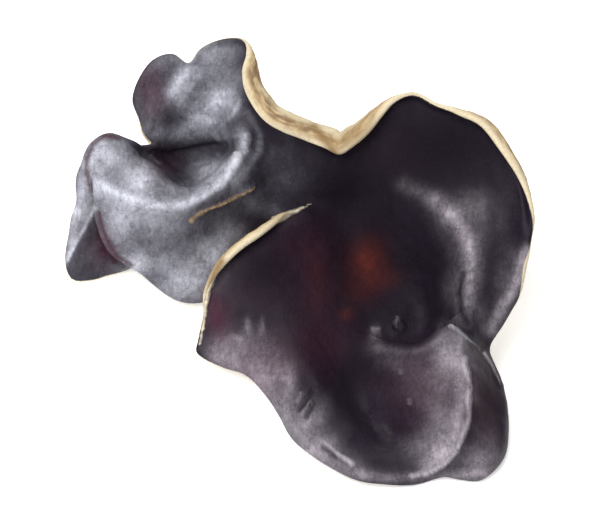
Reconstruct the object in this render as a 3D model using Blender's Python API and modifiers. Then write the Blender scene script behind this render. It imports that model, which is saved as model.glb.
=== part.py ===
"""A dried wood ear mushroom, lying as it rests.

It is one fruit body that grew as two ears, a front one and a left one, joined by a narrow neck. The body is
one thin sheet. Stations round its margin and points on its folds are placed by hand and a thin plate is bent
through them. The margin curls over as it dried, and the sheet is then given its thickness and the short stub
it grew from. All sizes are in millimetres and degrees until the mesh is made.
"""

import math

import bpy
import numpy as np
from mathutils import Vector
from mathutils.geometry import delaunay_2d_cdt

MM = 0.001
NODE_NAME = "fruit_body"

SHEET_THICKNESS = 1.3
FACET_SIZE = 1.8
CLOSEST_FACETS = 0.88
MARGIN_FACET_SIZE = 2.0
CURL_ROWS = 4
CURL_SMOOTHING = 3
LEAST_CURL = 1.0
SLOPE_REACH = 0.3
PATTERN_TILT = 15.0
PLATE_SOFTNESS = 0.05
NECK_BLEND_FROM = -11.6
NECK_BLEND_TO = -6.0
NECK_BLEND_NARROW = 1.05
NECK_BLEND_WIDE = 3.5
SLIT_BLEND = 1.4
STUB_PLACE = (3.5, -1.5)
STUB_CUT_RADIUS = 3.4
STUB_FLARE_RADIUS = 6.6
BODY_CENTRE = (-6.62, -10.74)

SKIN_COLOUR = (0.026, 0.019, 0.025, 1.0)
SKIN_ROUGHNESS = 0.5

# Stations round the margin. Each gives the ear it is on; where it shows when the body is looked at from the
# front at 45 degrees, across and up; its height above the floor; the length and the turn of the margin's
# curl there; and how far aside the flap's sheet lies in the flat pattern, clear of the skirt in front of it.
MARGIN = (
    # front ear: top rim, from the pinch to the right
    ("neck", 0.3, 19.7, 19.5, 8.0, 190.0, 0.0),
    ("neck", 2.7, 21.2, 21.0, 7.2, 190.0, 0.0),
    ("front", 5.0, 23.2, 23.0, 6.0, 185.0, 0.0),
    ("front", 7.3, 25.7, 25.5, 4.4, 165.0, 0.0),
    ("front", 9.3, 26.8, 26.8, 3.2, 115.0, 0.0),
    ("front", 11.7, 27.0, 27.0, 2.4, 70.0, 0.0),
    ("front", 14.7, 25.3, 26.2, 2.6, 80.0, 0.0),
    ("front", 18.3, 24.3, 25.8, 3.6, 130.0, 0.0),
    ("front", 22.3, 22.7, 25.2, 4.2, 160.0, 0.0),
    ("front", 25.2, 18.7, 24.0, 4.2, 160.0, 0.0),
    ("front", 27.5, 14.3, 22.3, 3.6, 140.0, 0.0),
    ("front", 28.2, 10.0, 20.5, 2.8, 90.0, 0.0),
    ("front", 27.8, 6.0, 18.5, 2.2, 20.0, 0.0),
    ("front", 27.2, 2.0, 15.8, 2.4, 90.0, 0.0),
    ("front", 26.2, -1.7, 13.2, 2.4, 60.0, 0.0),
    ("front", 25.0, -5.5, 10.5, 2.0, -30.0, 0.0),
    ("front", 23.3, -8.7, 8.8, 1.6, -20.0, 0.0),
    ("front", 22.3, -11.7, 7.6, 1.4, -10.0, 0.0),
    ("front", 23.8, -15.3, 6.2, 2.0, -40.0, 0.0),
    ("front", 24.8, -19.0, 5.2, 2.4, -50.0, 0.0),
    ("front", 24.8, -23.7, 4.0, 2.8, -60.0, 0.0),
    ("front", 24.0, -27.3, 3.3, 2.8, -60.0, 0.0),
    ("front", 21.5, -30.0, 2.9, 2.8, -60.0, 0.0),
    ("front", 18.3, -30.0, 2.9, 2.8, -60.0, 0.0),
    ("front", 14.7, -29.8, 2.9, 2.8, -65.0, 0.0),
    ("front", 10.7, -30.5, 2.7, 2.8, -65.0, 0.0),
    ("front", 6.7, -30.3, 2.9, 2.8, -65.0, 0.0),
    ("front", 3.3, -29.7, 3.2, 3.0, -70.0, 0.0),
    ("front", 0.0, -28.0, 3.6, 3.4, -80.0, 0.0),
    ("front", -3.3, -26.0, 3.8, 3.6, -80.0, 0.0),
    ("front", -6.7, -23.8, 4.0, 3.0, -70.0, 0.0),
    ("front", -8.8, -21.0, 4.0, 2.0, -40.0, 0.0),
    ("front", -11.3, -17.7, 4.2, 1.6, -15.0, 0.0),
    ("front", -14.5, -14.5, 4.2, 1.6, 0.0, 0.0),
    ("front", -18.3, -13.2, 3.6, 1.6, 0.0, 0.0),
    ("front", -22.1, -12.0, 3.2, 1.0, 0.0, 0.0),
    ("front", -21.7, -10.2, 4.0, 1.2, 0.0, 0.0),
    ("front", -20.5, -6.0, 6.2, 1.6, 10.0, 0.0),
    ("front", -20.0, -3.0, 8.2, 2.4, 90.0, 0.0),
    ("front", -18.7, 0.5, 10.0, 3.4, 160.0, 0.0),
    ("front", -16.0, 3.3, 11.4, 3.6, 165.0, 0.0),
    ("front", -12.7, 5.8, 12.4, 3.4, 165.0, 0.0),
    ("front", -9.0, 8.3, 12.9, 2.6, 130.0, 0.0),
    ("neck", -6.3, 9.8, 12.9, 1.1, 40.0, 0.0),
    ("neck", -6.6, 11.2, 12.2, 0.9, 0.0, 0.0),
    # left ear: lower margin, behind the front ear's left rim
    ("left", -9.2, 10.0, 9.6, 1.2, 0.0, 0.0),
    ("left", -12.0, 7.6, 6.8, 1.6, 0.0, 0.0),
    ("left", -15.0, 4.5, 4.6, 1.6, 0.0, 0.0),
    ("left", -17.6, 1.3, 3.4, 1.6, -10.0, 0.0),
    ("left", -20.2, -1.6, 2.8, 1.8, -20.0, 0.0),
    # skirt
    ("left", -23.0, -2.7, 2.8, 1.8, -30.0, 0.0),
    ("left", -26.0, -2.3, 2.9, 1.8, -30.0, 0.0),
    ("left", -29.7, 0.2, 3.4, 1.8, -30.0, 0.0),
    ("left", -33.0, 2.5, 4.8, 1.6, 0.0, 0.0),
    ("left", -36.2, 4.7, 6.6, 1.4, 10.0, 0.0),
    ("left", -37.8, 8.7, 9.8, 1.4, 20.0, 0.0),
    ("left", -38.5, 13.0, 13.0, 1.2, 10.0, 0.0),
    ("left", -38.9, 14.5, 14.0, 0.9, 0.0, 0.0),
    ("fold", -39.7, 16.0, 14.5, 0.7, 0.0, 0.0),
    # flap behind the skirt, its inner margin hidden
    ("flap", -40.1, 13.4, 11.6, 0.8, 0.0, -1.3),
    ("flap", -38.2, 10.3, 7.8, 1.1, 0.0, -3.6),
    ("flap", -36.0, 6.5, 4.2, 1.5, 0.0, -6.4),
    ("flap", -34.4, 3.1, 1.6, 1.5, 0.0, -8.4),
    ("flap", -35.0, 2.0, 1.5, 1.5, 0.0, -9.6),
    ("flap", -37.7, 1.3, 1.4, 1.5, 0.0, -9.4),
    ("flap", -40.0, 0.7, 1.3, 1.6, 0.0, -9.2),
    ("flap", -42.3, 0.8, 1.4, 1.6, 0.0, -9.0),
    ("flap", -42.9, 4.3, 3.4, 1.1, 0.0, -7.6),
    ("flap", -42.1, 9.0, 7.2, 1.1, 0.0, -5.0),
    ("flap", -41.4, 13.7, 11.2, 1.1, -10.0, -2.8),
    ("fold", -40.6, 17.3, 14.8, 1.2, -20.0, -1.2),
    ("fold", -39.0, 20.2, 17.6, 1.6, -30.0, 0.0),
    # left ear: sub-lobe top, left sinus, upper lobe
    ("fold", -36.7, 21.2, 18.4, 1.8, -40.0, 0.0),
    ("left", -33.8, 20.3, 17.6, 1.6, -30.0, 0.0),
    ("left", -31.3, 19.7, 15.2, 1.2, 0.0, 0.0),
    ("left", -29.6, 20.4, 14.2, 1.2, 0.0, 0.0),
    ("left", -30.7, 22.5, 16.2, 1.4, -10.0, 0.0),
    ("left", -30.8, 25.0, 17.8, 1.8, -30.0, 0.0),
    ("left", -31.5, 27.7, 19.6, 2.0, -40.0, 0.0),
    ("left", -30.7, 30.3, 21.6, 2.0, -40.0, 0.0),
    ("left", -29.0, 32.7, 23.2, 2.0, -40.0, 0.0),
    ("left", -26.7, 33.5, 23.8, 1.8, -20.0, 0.0),
    ("left", -24.0, 32.5, 23.6, 1.4, 0.0, 0.0),
    ("left", -21.7, 34.8, 25.0, 1.6, 10.0, 0.0),
    ("left", -19.0, 36.0, 25.8, 1.6, 10.0, 0.0),
    ("left", -16.3, 36.0, 26.2, 1.8, 30.0, 0.0),
    ("left", -14.5, 33.8, 26.0, 3.0, 130.0, 0.0),
    # left ear: right rim, rolled to the dark side, down to the pinch
    ("left", -14.2, 31.7, 25.8, 4.0, 180.0, 0.0),
    ("left", -13.5, 29.0, 25.0, 4.8, 190.0, 0.0),
    ("left", -11.7, 26.3, 24.0, 5.4, 195.0, 0.0),
    ("left", -9.0, 24.3, 22.9, 5.6, 195.0, 0.0),
    ("neck", -5.7, 22.7, 21.4, 5.6, 195.0, 0.0),
    ("neck", -2.3, 21.0, 20.0, 6.8, 192.0, 0.0),
)

# Points on the folds inside the margin: the ear, across, up, the height, and how far aside in the pattern.
FOLDS = (
    # neck
    ("neck", -1.7, 15.3, 16.3, 0.0),
    ("neck", -3.7, 17.0, 17.6, 0.0),
    ("neck", -5.0, 13.7, 14.4, 0.0),
    ("neck", -3.0, 11.7, 12.8, 0.0),
    ("neck", -7.3, 15.3, 14.8, 0.0),
    ("neck", 1.3, 17.0, 17.6, 0.0),
    # front ear, back wall
    ("front", 6.7, 17.7, 19.6, 0.0),
    ("front", 10.3, 22.7, 23.6, 0.0),
    ("front", 15.0, 20.7, 23.6, 0.0),
    ("front", 20.7, 17.3, 23.0, 0.0),
    ("front", 25.3, 12.0, 21.2, 0.0),
    ("front", 3.7, 13.0, 14.0, 0.0),
    # dark groove beside the right ridge
    ("front", 8.7, 7.7, 12.6, 0.0),
    ("front", 12.3, 4.3, 11.4, 0.0),
    ("front", 15.0, 0.0, 9.0, 0.0),
    ("front", 15.7, -4.7, 6.0, 0.0),
    # right ridge
    ("front", 7.7, 14.0, 16.8, 0.0),
    ("front", 12.3, 12.0, 18.0, 0.0),
    ("front", 16.3, 8.0, 18.4, 0.0),
    ("front", 18.7, 3.0, 17.2, 0.0),
    ("front", 20.0, -2.3, 14.8, 0.0),
    ("front", 20.5, -7.2, 11.4, 0.0),
    # furrow right of the ridge and second bulge
    ("front", 20.3, 7.7, 19.0, 0.0),
    ("front", 22.0, 1.0, 15.8, 0.0),
    ("front", 22.3, -4.0, 12.4, 0.0),
    ("front", 22.3, -7.5, 9.8, 0.0),
    ("front", 25.2, 3.7, 17.6, 0.0),
    ("front", 24.5, -1.7, 14.0, 0.0),
    # hollow
    ("front", 4.0, 6.7, 8.6, 0.0),
    ("front", 4.3, 1.7, 5.2, 0.0),
    ("front", 9.3, 1.7, 7.4, 0.0),
    ("front", 5.7, -3.7, 3.4, 0.0),
    ("front", 10.3, -4.3, 3.8, 0.0),
    ("front", 8.7, -8.3, 2.2, 0.0),
    ("front", -1.7, 6.3, 9.0, 0.0),
    ("front", -1.0, 0.0, 5.6, 0.0),
    ("front", -0.3, -5.7, 4.4, 0.0),
    # left side
    ("front", -7.7, 4.7, 10.6, 0.0),
    ("front", -7.7, -1.0, 8.2, 0.0),
    ("front", -14.3, 0.7, 10.4, 0.0),
    ("front", -14.0, -4.3, 8.4, 0.0),
    ("front", -16.7, -8.3, 6.2, 0.0),
    ("front", -11.7, -9.3, 7.6, 0.0),
    ("front", -8.0, -13.3, 7.2, 0.0),
    ("front", -4.7, -17.3, 6.4, 0.0),
    ("front", -1.7, -21.3, 5.4, 0.0),
    ("front", 1.3, -24.7, 4.6, 0.0),
    ("front", -5.0, -9.3, 5.8, 0.0),
    # crescent valley
    ("front", -0.7, -12.0, 3.2, 0.0),
    ("front", 1.0, -17.0, 2.0, 0.0),
    ("front", 4.0, -21.7, 2.0, 0.0),
    ("front", 8.3, -25.7, 2.6, 0.0),
    # front lobe crest and dome
    ("front", 9.0, -10.8, 8.4, 0.0),
    ("front", 12.7, -11.0, 11.2, 0.0),
    ("front", 16.7, -8.5, 14.6, 0.0),
    ("front", 19.0, -11.0, 13.4, 0.0),
    # behind the crest, out of sight
    ("front", 16.6, -9.9, 9.6, 0.0),
    ("front", 16.2, -10.3, 5.4, 0.0),
    ("front", 12.6, -11.9, 7.4, 0.0),
    ("front", 12.4, -11.7, 3.4, 0.0),
    ("front", 8.8, -11.6, 4.2, 0.0),
    ("front", 6.0, -14.3, 5.6, 0.0),
    ("front", 11.0, -15.0, 10.4, 0.0),
    ("front", 15.3, -14.7, 12.8, 0.0),
    ("front", 7.7, -19.7, 5.4, 0.0),
    ("front", 13.3, -20.3, 9.4, 0.0),
    ("front", 12.7, -26.0, 5.4, 0.0),
    ("front", 18.3, -15.0, 12.5, 0.0),
    ("front", 19.9, -15.5, 12.4, 0.0),
    ("front", 21.3, -15.8, 10.4, 0.0),
    ("front", 18.5, -19.5, 10.4, 0.0),
    ("front", 20.2, -19.7, 10.3, 0.0),
    ("front", 21.5, -19.8, 8.3, 0.0),
    ("front", 17.8, -23.7, 8.0, 0.0),
    ("front", 19.4, -24.0, 7.7, 0.0),
    ("front", 20.9, -24.3, 5.9, 0.0),
    ("front", 15.7, -27.3, 5.5, 0.0),
    ("front", 17.3, -28.0, 4.9, 0.0),
    ("front", 22.8, -17.0, 7.6, 0.0),
    ("front", 23.0, -21.7, 5.6, 0.0),
    # left ear: upper lobe
    ("left", -20.7, 30.3, 21.2, 0.0),
    ("left", -16.7, 27.7, 21.8, 0.0),
    ("left", -26.3, 29.3, 19.8, 0.0),
    ("left", -28.0, 25.7, 16.8, 0.0),
    ("left", -23.0, 25.3, 15.9, 0.0),
    ("left", -27.7, 21.7, 12.2, 0.0),
    ("left", -24.0, 20.3, 9.2, 0.0),
    ("left", -20.0, 20.2, 10.0, 0.0),
    # socket
    ("left", -28.0, 18.0, 9.8, 0.0),
    ("left", -25.0, 13.3, 11.4, 0.0),
    ("left", -21.7, 14.3, 12.2, 0.0),
    ("left", -25.3, 15.0, 9.0, 0.0),
    ("left", -22.3, 16.3, 9.4, 0.0),
    ("left", -19.0, 16.8, 13.0, 0.0),
    # lip and ridge
    ("left", -16.0, 24.3, 20.8, 0.0),
    ("left", -16.2, 21.0, 19.6, 0.0),
    ("left", -17.2, 17.7, 18.2, 0.0),
    ("left", -19.3, 14.7, 16.6, 0.0),
    ("left", -22.7, 12.5, 15.2, 0.0),
    ("left", -26.0, 12.0, 14.4, 0.0),
    ("left", -30.0, 17.2, 15.6, 0.0),
    ("left", -27.8, 14.7, 15.0, 0.0),
    ("left", -33.3, 18.0, 16.8, 0.0),
    ("left", -34.0, 13.3, 14.6, 0.0),
    # skirt
    ("left", -33.3, 8.3, 10.4, 0.0),
    ("left", -28.3, 7.0, 9.4, 0.0),
    ("left", -23.3, 7.0, 9.4, 0.0),
    ("left", -30.7, 3.0, 6.0, 0.0),
    ("left", -25.0, 1.7, 5.4, 0.0),
    # right of the lip, down to the sinus
    ("left", -12.3, 21.7, 19.6, 0.0),
    ("left", -10.7, 17.3, 15.8, 0.0),
    ("left", -12.7, 13.3, 12.2, 0.0),
    ("left", -20.7, 10.7, 13.2, 0.0),
    ("left", -19.3, 8.7, 10.2, 0.0),
    ("left", -15.7, 10.7, 10.8, 0.0),
    ("left", -18.3, 5.0, 6.6, 0.0),
    ("left", -13.3, 9.0, 8.6, 0.0),
    # flap
    ("flap", -40.7, 5.0, 4.2, -7.6),
    ("flap", -39.7, 11.0, 8.6, -4.4),
    ("flap", -37.3, 3.3, 2.6, -8.6),
    ("fold", -37.3, 18.7, 16.8, 0.0),
)

# Lines on the flat pattern that part one ear's plate from the next: through the neck and on along the gap
# behind the front ear's left margin, and down the slit between the skirt and the flap.
NECK_LINE = (
    (0.5, 24.0),
    (0.0, 12.2),
    (-5.9, 5.2),
    (-8.3, 5.2),
    (-11.0, 4.0),
    (-15.0, 0.6),
    (-19.0, -4.2),
    (-21.3, -7.5),
    (-30.0, -16.0),
)
SLIT_LINE = (
    (-35.0, 21.0),
    (-37.5, 15.9),
    (-40.0, 12.2),
    (-40.2, 9.8),
    (-40.0, 7.5),
    (-40.3, 4.5),
    (-40.3, -4.0),
)


def seen(across, up, height):
    """The place of a point that shows at (across, up) from the front at 45 degrees."""
    return (across, up * math.sqrt(2.0) - height, height)


def to_pattern(points):
    """Body axes to pattern axes: across, along the tilted pattern plane, and out of it."""
    tilt = math.radians(PATTERN_TILT)
    x, y, z = np.asarray(points, float).T
    along = y * math.cos(tilt) + z * math.sin(tilt)
    out = z * math.cos(tilt) - y * math.sin(tilt)
    return np.column_stack((x, along, out))


def from_pattern(points):
    """Pattern axes back to body axes."""
    tilt = math.radians(PATTERN_TILT)
    x, along, out = np.asarray(points, float).T
    y = along * math.cos(tilt) - out * math.sin(tilt)
    z = along * math.sin(tilt) + out * math.cos(tilt)
    return np.column_stack((x, y, z))


def plate_kernel(places, pins):
    """How much a pin bends a thin plate at each flat place."""
    squared = ((places[:, None, :] - pins[None, :, :]) ** 2).sum(axis=2)
    return 0.5 * squared * np.log(squared + 1e-12)


def bent_plate(flat, held):
    """The thin plate that bends through pins: a function from flat places to pattern axes."""
    count = len(flat)
    system = np.zeros((count + 3, count + 3))
    system[:count, :count] = plate_kernel(flat, flat) + PLATE_SOFTNESS * np.eye(count)
    system[:count, count] = 1.0
    system[:count, count + 1:] = flat
    system[count:, :count] = system[:count, count:].T
    target = np.zeros((count + 3, 3))
    target[:count] = held
    weights = np.linalg.solve(system, target)

    def at(places):
        return plate_kernel(places, flat) @ weights[:count] + weights[count] + places @ weights[count + 1:]

    return at


def smooth_step(values):
    t = np.clip(values, 0.0, 1.0)
    return t * t * (3.0 - 2.0 * t)


def side_of(line, places):
    """Signed distance of flat places from a bent line, positive to the left of its direction."""
    line = np.asarray(line, float)
    nearest = np.full(len(places), np.inf)
    signed = np.zeros(len(places))
    for start, end in zip(line[:-1], line[1:]):
        run = end - start
        reach = np.clip((places - start) @ run / (run @ run), 0.0, 1.0)
        away = places - (start + reach[:, None] * run)
        distance = np.hypot(away[:, 0], away[:, 1])
        turn = run[0] * away[:, 1] - run[1] * away[:, 0]
        nearer = distance < nearest
        signed[nearer] = np.where(turn > 0, distance, -distance)[nearer]
        nearest[nearer] = distance[nearer]
    return signed


def pins_of(names):
    """Flat places and bent places of every station and fold that belongs to one of the named parts."""
    chosen = [row[1:4] + row[6:] for row in MARGIN if row[0] in names]
    chosen += [row[1:] for row in FOLDS if row[0] in names]
    held = to_pattern([seen(*row[:3]) for row in chosen])
    flat = held[:, :2].copy()
    flat[:, 0] += [row[3] for row in chosen]
    return flat, held


def bent_body():
    """The function that takes flat pattern places to places on the bent body, in millimetres."""
    front = bent_plate(*pins_of(("front", "neck")))
    left = bent_plate(*pins_of(("left", "neck", "fold")))
    flap = bent_plate(*pins_of(("flap", "fold")))

    def bend(places):
        across = places[:, 0]
        width = np.interp(across, (NECK_BLEND_FROM, NECK_BLEND_TO), (NECK_BLEND_NARROW, NECK_BLEND_WIDE))
        in_front = smooth_step(0.5 + side_of(NECK_LINE, places) / (2.0 * width))[:, None]
        in_flap = smooth_step(0.5 - side_of(SLIT_LINE, places) / (2.0 * SLIT_BLEND))[:, None]
        beside = in_flap * flap(places) + (1.0 - in_flap) * left(places)
        return from_pattern(in_front * front(places) + (1.0 - in_front) * beside)

    return bend


def closed_curve(stations, step):
    """A closed smooth curve through the stations, in even steps along its first three columns."""
    stations = np.asarray(stations, float)
    fine = []
    for i in range(len(stations)):
        a, b, c, d = (stations[(i + k) % len(stations)] for k in (-1, 0, 1, 2))
        for t in np.linspace(0.0, 1.0, 12, endpoint=False):
            bow = 2.0 * b + (c - a) * t + (2.0 * a - 5.0 * b + 4.0 * c - d) * t * t
            fine.append(0.5 * (bow + (3.0 * b - a - 3.0 * c + d) * t ** 3))
    closed = np.array(fine + fine[:1])
    run = np.concatenate(([0.0], np.cumsum(np.linalg.norm(np.diff(closed[:, :3], axis=0), axis=1))))
    at = np.linspace(0.0, run[-1], int(round(run[-1] / step)), endpoint=False)
    return np.column_stack([np.interp(at, run, column) for column in closed.T])


def margin_pattern():
    """Flat places round the margin, counter-clockwise, with the curl's length and turn at each."""
    stations = []
    for _, across, up, height, length, turn, aside in MARGIN:
        x, along, out = to_pattern([seen(across, up, height)])[0]
        stations.append((x + aside, along, out, length, turn))
    curve = closed_curve(stations, MARGIN_FACET_SIZE)
    x, along = curve[:, 0], curve[:, 1]
    if (x * np.roll(along, -1) - np.roll(x, -1) * along).sum() < 0.0:
        curve = curve[::-1]
    return curve[:, :2], curve[:, 3], curve[:, 4]


def inside(outline, places):
    """Which flat places lie inside a closed outline."""
    x, y = places.T
    result = np.zeros(len(places), bool)
    for (x0, y0), (x1, y1) in zip(outline, np.roll(outline, -1, axis=0)):
        if y0 != y1:
            result ^= ((y0 > y) != (y1 > y)) & (x < (x1 - x0) * (y - y0) / (y1 - y0) + x0)
    return result


def fill_pattern(bend, outline):
    """Flat places and triangles that fill the outline, evenly spread over the bent sheet."""
    step = FACET_SIZE / 2.0
    low, high = outline.min(axis=0), outline.max(axis=0)
    rows = []
    for k, along in enumerate(np.arange(low[1], high[1], step * math.sqrt(0.75))):
        across = np.arange(low[0] + (k % 2) * step / 2.0, high[0], step)
        rows.append(np.column_stack((across, np.full(len(across), along))))
    places = np.vstack(rows)
    places = places[inside(outline, places)]
    taken = list(bend(outline))
    chosen = []
    for place, point in zip(places, bend(places)):
        gaps = np.asarray(taken) - point
        if (gaps * gaps).sum(axis=1).min() >= (CLOSEST_FACETS * FACET_SIZE) ** 2:
            taken.append(point)
            chosen.append(place)
    count = len(outline)
    flat = [Vector(place) for place in np.vstack((outline, chosen))]
    edges = [(i, (i + 1) % count) for i in range(count)]
    verts, _, faces, *_ = delaunay_2d_cdt(flat, edges, [list(range(count))], 1, 1e-6)
    return np.array([tuple(vert) for vert in verts]), [tuple(face) for face in faces]


def unit(vectors):
    return vectors / np.linalg.norm(vectors, axis=1)[:, None]


def eased(vectors):
    """Directions round a closed line, each drawn towards its neighbours."""
    for _ in range(CURL_SMOOTHING):
        vectors = 0.5 * vectors + 0.25 * (np.roll(vectors, 1, axis=0) + np.roll(vectors, -1, axis=0))
    return unit(vectors)


def curled_margin(bend, outline, lengths, turns):
    """Rows of points that carry the sheet on past its outline and curl it over."""
    rim = bend(outline)
    across = bend(outline + (SLOPE_REACH, 0.0)) - bend(outline - (SLOPE_REACH, 0.0))
    along = bend(outline + (0.0, SLOPE_REACH)) - bend(outline - (0.0, SLOPE_REACH))
    upper = eased(unit(np.cross(across, along)))
    outward = eased(unit(np.cross(np.roll(rim, -1, axis=0) - np.roll(rim, 1, axis=0), upper)))
    upper = unit(upper - (upper * outward).sum(axis=1)[:, None] * outward)
    turn = np.radians(np.where(np.abs(turns) < LEAST_CURL, LEAST_CURL, turns))
    radius = (lengths / turn)[:, None]
    rows = []
    for k in range(1, CURL_ROWS + 1):
        angle = (turn * k / CURL_ROWS)[:, None]
        rows.append(rim + radius * (outward * np.sin(angle) + upper * (1.0 - np.cos(angle))))
    return rows


def middle_sheet():
    """Points, in millimetres, and faces of the body's middle surface with its curled margin."""
    bend = bent_body()
    outline, lengths, turns = margin_pattern()
    places, faces = fill_pattern(bend, outline)
    points = bend(places)
    count = len(outline)
    inner = list(range(count))
    for row in curled_margin(bend, outline, lengths, turns):
        outer = list(range(len(points), len(points) + count))
        for i in range(count):
            after = (i + 1) % count
            faces.append((inner[i], outer[i], outer[after], inner[after]))
        points = np.vstack((points, row))
        inner = outer
    return points, faces


def skin_material():
    """The dark, almost black skin of a dried wood ear."""
    material = bpy.data.materials.new("dried_skin")
    material.use_nodes = True
    shader = material.node_tree.nodes["Principled BSDF"]
    shader.inputs["Base Color"].default_value = SKIN_COLOUR
    shader.inputs["Roughness"].default_value = SKIN_ROUGHNESS
    shader.inputs["Metallic"].default_value = 0.0
    return material


def grow_stub(mesh):
    """Draw the underside down into the short stub the body grew from, cut flat at the floor."""
    for vertex in mesh.vertices:
        away = math.hypot(vertex.co.x / MM - STUB_PLACE[0], vertex.co.y / MM - STUB_PLACE[1])
        if away < STUB_FLARE_RADIUS and vertex.normal.z < 0.0:
            drawn = (STUB_FLARE_RADIUS - away) / (STUB_FLARE_RADIUS - STUB_CUT_RADIUS)
            vertex.co.z *= 1.0 - float(smooth_step(drawn))
        vertex.co.z = max(vertex.co.z, 0.0)


def fruit_body(collection):
    """The whole body: the bent sheet thickened, with its stub, centred over the origin on the floor."""
    points, faces = middle_sheet()
    sheet = bpy.data.meshes.new(NODE_NAME)
    sheet.from_pydata([tuple(point * MM) for point in points], [], faces)
    body = bpy.data.objects.new(NODE_NAME, sheet)
    collection.objects.link(body)
    shell = body.modifiers.new("thickness", "SOLIDIFY")
    shell.thickness = SHEET_THICKNESS * MM
    shell.offset = 0.0
    grown = bpy.data.meshes.new_from_object(body.evaluated_get(bpy.context.evaluated_depsgraph_get()))
    body.modifiers.remove(shell)
    body.data = grown
    grow_stub(grown)
    for vertex in grown.vertices:
        vertex.co.x -= BODY_CENTRE[0] * MM
        vertex.co.y -= BODY_CENTRE[1] * MM
    grown.shade_smooth()
    grown.materials.append(skin_material())
    return body


def main():
    for old in list(bpy.data.objects):
        bpy.data.objects.remove(old)
    collection = bpy.data.collections.new("dried_wood_ear")
    bpy.context.scene.collection.children.link(collection)
    fruit_body(collection)


main()
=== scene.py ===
"""The looks of a dried wood ear mushroom: one thin, leathery sheet grown as two ears joined by a neck.

Its upper side is dark skin with a grey bloom, its underside tan felt, which shows where the margin rolls
over. Lengths are in millimetres until a mesh is made, and angles in degrees. A place is either as seen,
across and up where it shows from the front at 45 degrees, or flat, in the pattern that is bent into shape.
"""

import functools
import math

import bpy
import numpy as np
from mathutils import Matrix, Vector, noise
from mathutils.geometry import delaunay_2d_cdt
from mathutils.kdtree import KDTree


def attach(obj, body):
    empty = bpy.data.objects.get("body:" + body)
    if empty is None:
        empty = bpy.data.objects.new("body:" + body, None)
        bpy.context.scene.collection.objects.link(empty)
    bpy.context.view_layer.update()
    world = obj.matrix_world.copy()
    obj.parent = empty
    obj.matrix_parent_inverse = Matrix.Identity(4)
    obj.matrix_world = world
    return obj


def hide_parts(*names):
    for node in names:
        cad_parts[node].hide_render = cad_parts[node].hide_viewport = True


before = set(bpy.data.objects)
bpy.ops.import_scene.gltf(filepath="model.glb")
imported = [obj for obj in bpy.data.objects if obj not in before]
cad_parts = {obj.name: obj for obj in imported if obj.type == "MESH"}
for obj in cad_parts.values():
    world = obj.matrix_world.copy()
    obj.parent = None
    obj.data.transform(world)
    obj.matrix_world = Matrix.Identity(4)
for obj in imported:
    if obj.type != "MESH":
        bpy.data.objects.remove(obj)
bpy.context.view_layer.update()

MM = 0.001

# The sheet, its rolled margin, and the stub that it stands on.
SHEET_THICKNESS = 1.3
EDGE_THICKNESS = 0.95
EDGE_TAPER = 4.0
LEAST_CURL = 1.0
LEAST_ROLL = 0.3
STUB_PLACE = (3.5, -1.5)
STUB_CUT_RADIUS = 3.4
STUB_CUT_EDGE = (3.9, 3.1)
STUB_FLARE_RADIUS = 6.6
BODY_CENTRE = (-6.62, -10.74)

# How the flat pattern is bent: its tilt, how loosely the plate holds its pins, and how softly its parts join.
PATTERN_TILT = 15.0
PLATE_SOFTNESS = 0.05
NECK_BLEND_ACROSS = (-11.6, -6.0)
NECK_BLEND_WIDTHS = (1.05, 3.5)
SLIT_BLEND = 1.4
LEFT_EAR_BLEND = 2.0

# How finely the mesh follows it, closer together beside the thin lines.
MESH_SPACING = 0.46
LINE_SPACING = 0.18
LINE_REACH = 0.8
GRID_SHARE = 0.9
KEPT_SHARE = 0.88
DRAWN_SHARE = 0.55
MARGIN_SPACING = 0.5
CURVE_STEPS = 12
CURL_ROWS = 11
RIM_ROWS = 5
CURL_SMOOTHING = 2.45
NORMAL_ROUNDS = 3
SLOPE_REACH = 0.3
SLOPE_STEP = 0.02
EDGE_SOFTNESS = 0.15

# Node kinds. A Map Range takes the value, the range it comes from and the range it goes to.
NOISE = "ShaderNodeTexNoise"
RANGE = "ShaderNodeMapRange"
MATH = "ShaderNodeMath"
MIX = "ShaderNodeMix"
# Sockets of a Mix node that mixes colours, and of an Attribute node.
MIX_UNDER = 6
MIX_OVER = 7
MIX_RESULT = 2
ATTRIBUTE_VALUE = 2

# Thin lines painted on the skin, among them painted highlights on crests and ridges, painted glints and
# painted shade in furrows: their mask, half their width, strength, colour and how far they are worn.
SKIN_LINES = (
    ("furrow_shade", 0.60, 0.85, "171118", 0.4),
    ("streak_and_glint", 0.60, 0.16, "b9b2bc", 0.8),
    ("crest_highlight", 0.52, 0.56, "c2bac2", 0.6),
    ("lip_and_ridge_highlight", 0.50, 0.46, "d6d5dc", 0.5),
    ("red", 0.60, 0.85, "3a1c26", 0.3),
    ("crack", 0.52, 0.92, "a38a6a", 0.2),
    ("margin", 0.60, 0.95, "e4d8bc", 0.0),
)

# Noise patterns by their count to a millimetre, detail and roughness: pores are 0.4 across, scuffs and
# speckle about 1, worn veins about 2 and patches of bloom about 3.
PATTERNS = {
    "pores": (2.6, 4.0, 0.6),
    "scuffs": (1.1, 2.0, 0.5),
    "speckle": (1.0, 3.0, 0.5),
    "patches": (0.35, 3.0, 0.55),
    "veins": (0.45, 2.0, 0.5),
}
# Scuffs run this way, and are this much shorter across. The felt's strands are drawn out along the margin.
SCUFF_TURN = 40.0
SCUFF_STRETCH = (2.2, 0.5, 1.0)
STRANDS_PER_MM = 1.6
STRAND_STRETCH = 0.25
GRAIN_DEPTH = 0.15

# The least bloom on the left ear, and where it sets in.
LEFT_HAZE = 0.18
HAZE_FROM = -12.5
HAZE_FADE = 6.0
# The painted shade in the hollow of the left ear's flap, and how far the wine stain of the folds reaches
# on the felt.
FLAP_SHADE = 0.72
FLAP_REACH = 9.0
FLAP_FADE = 1.2
FOLD_STAIN = 1.2
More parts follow.
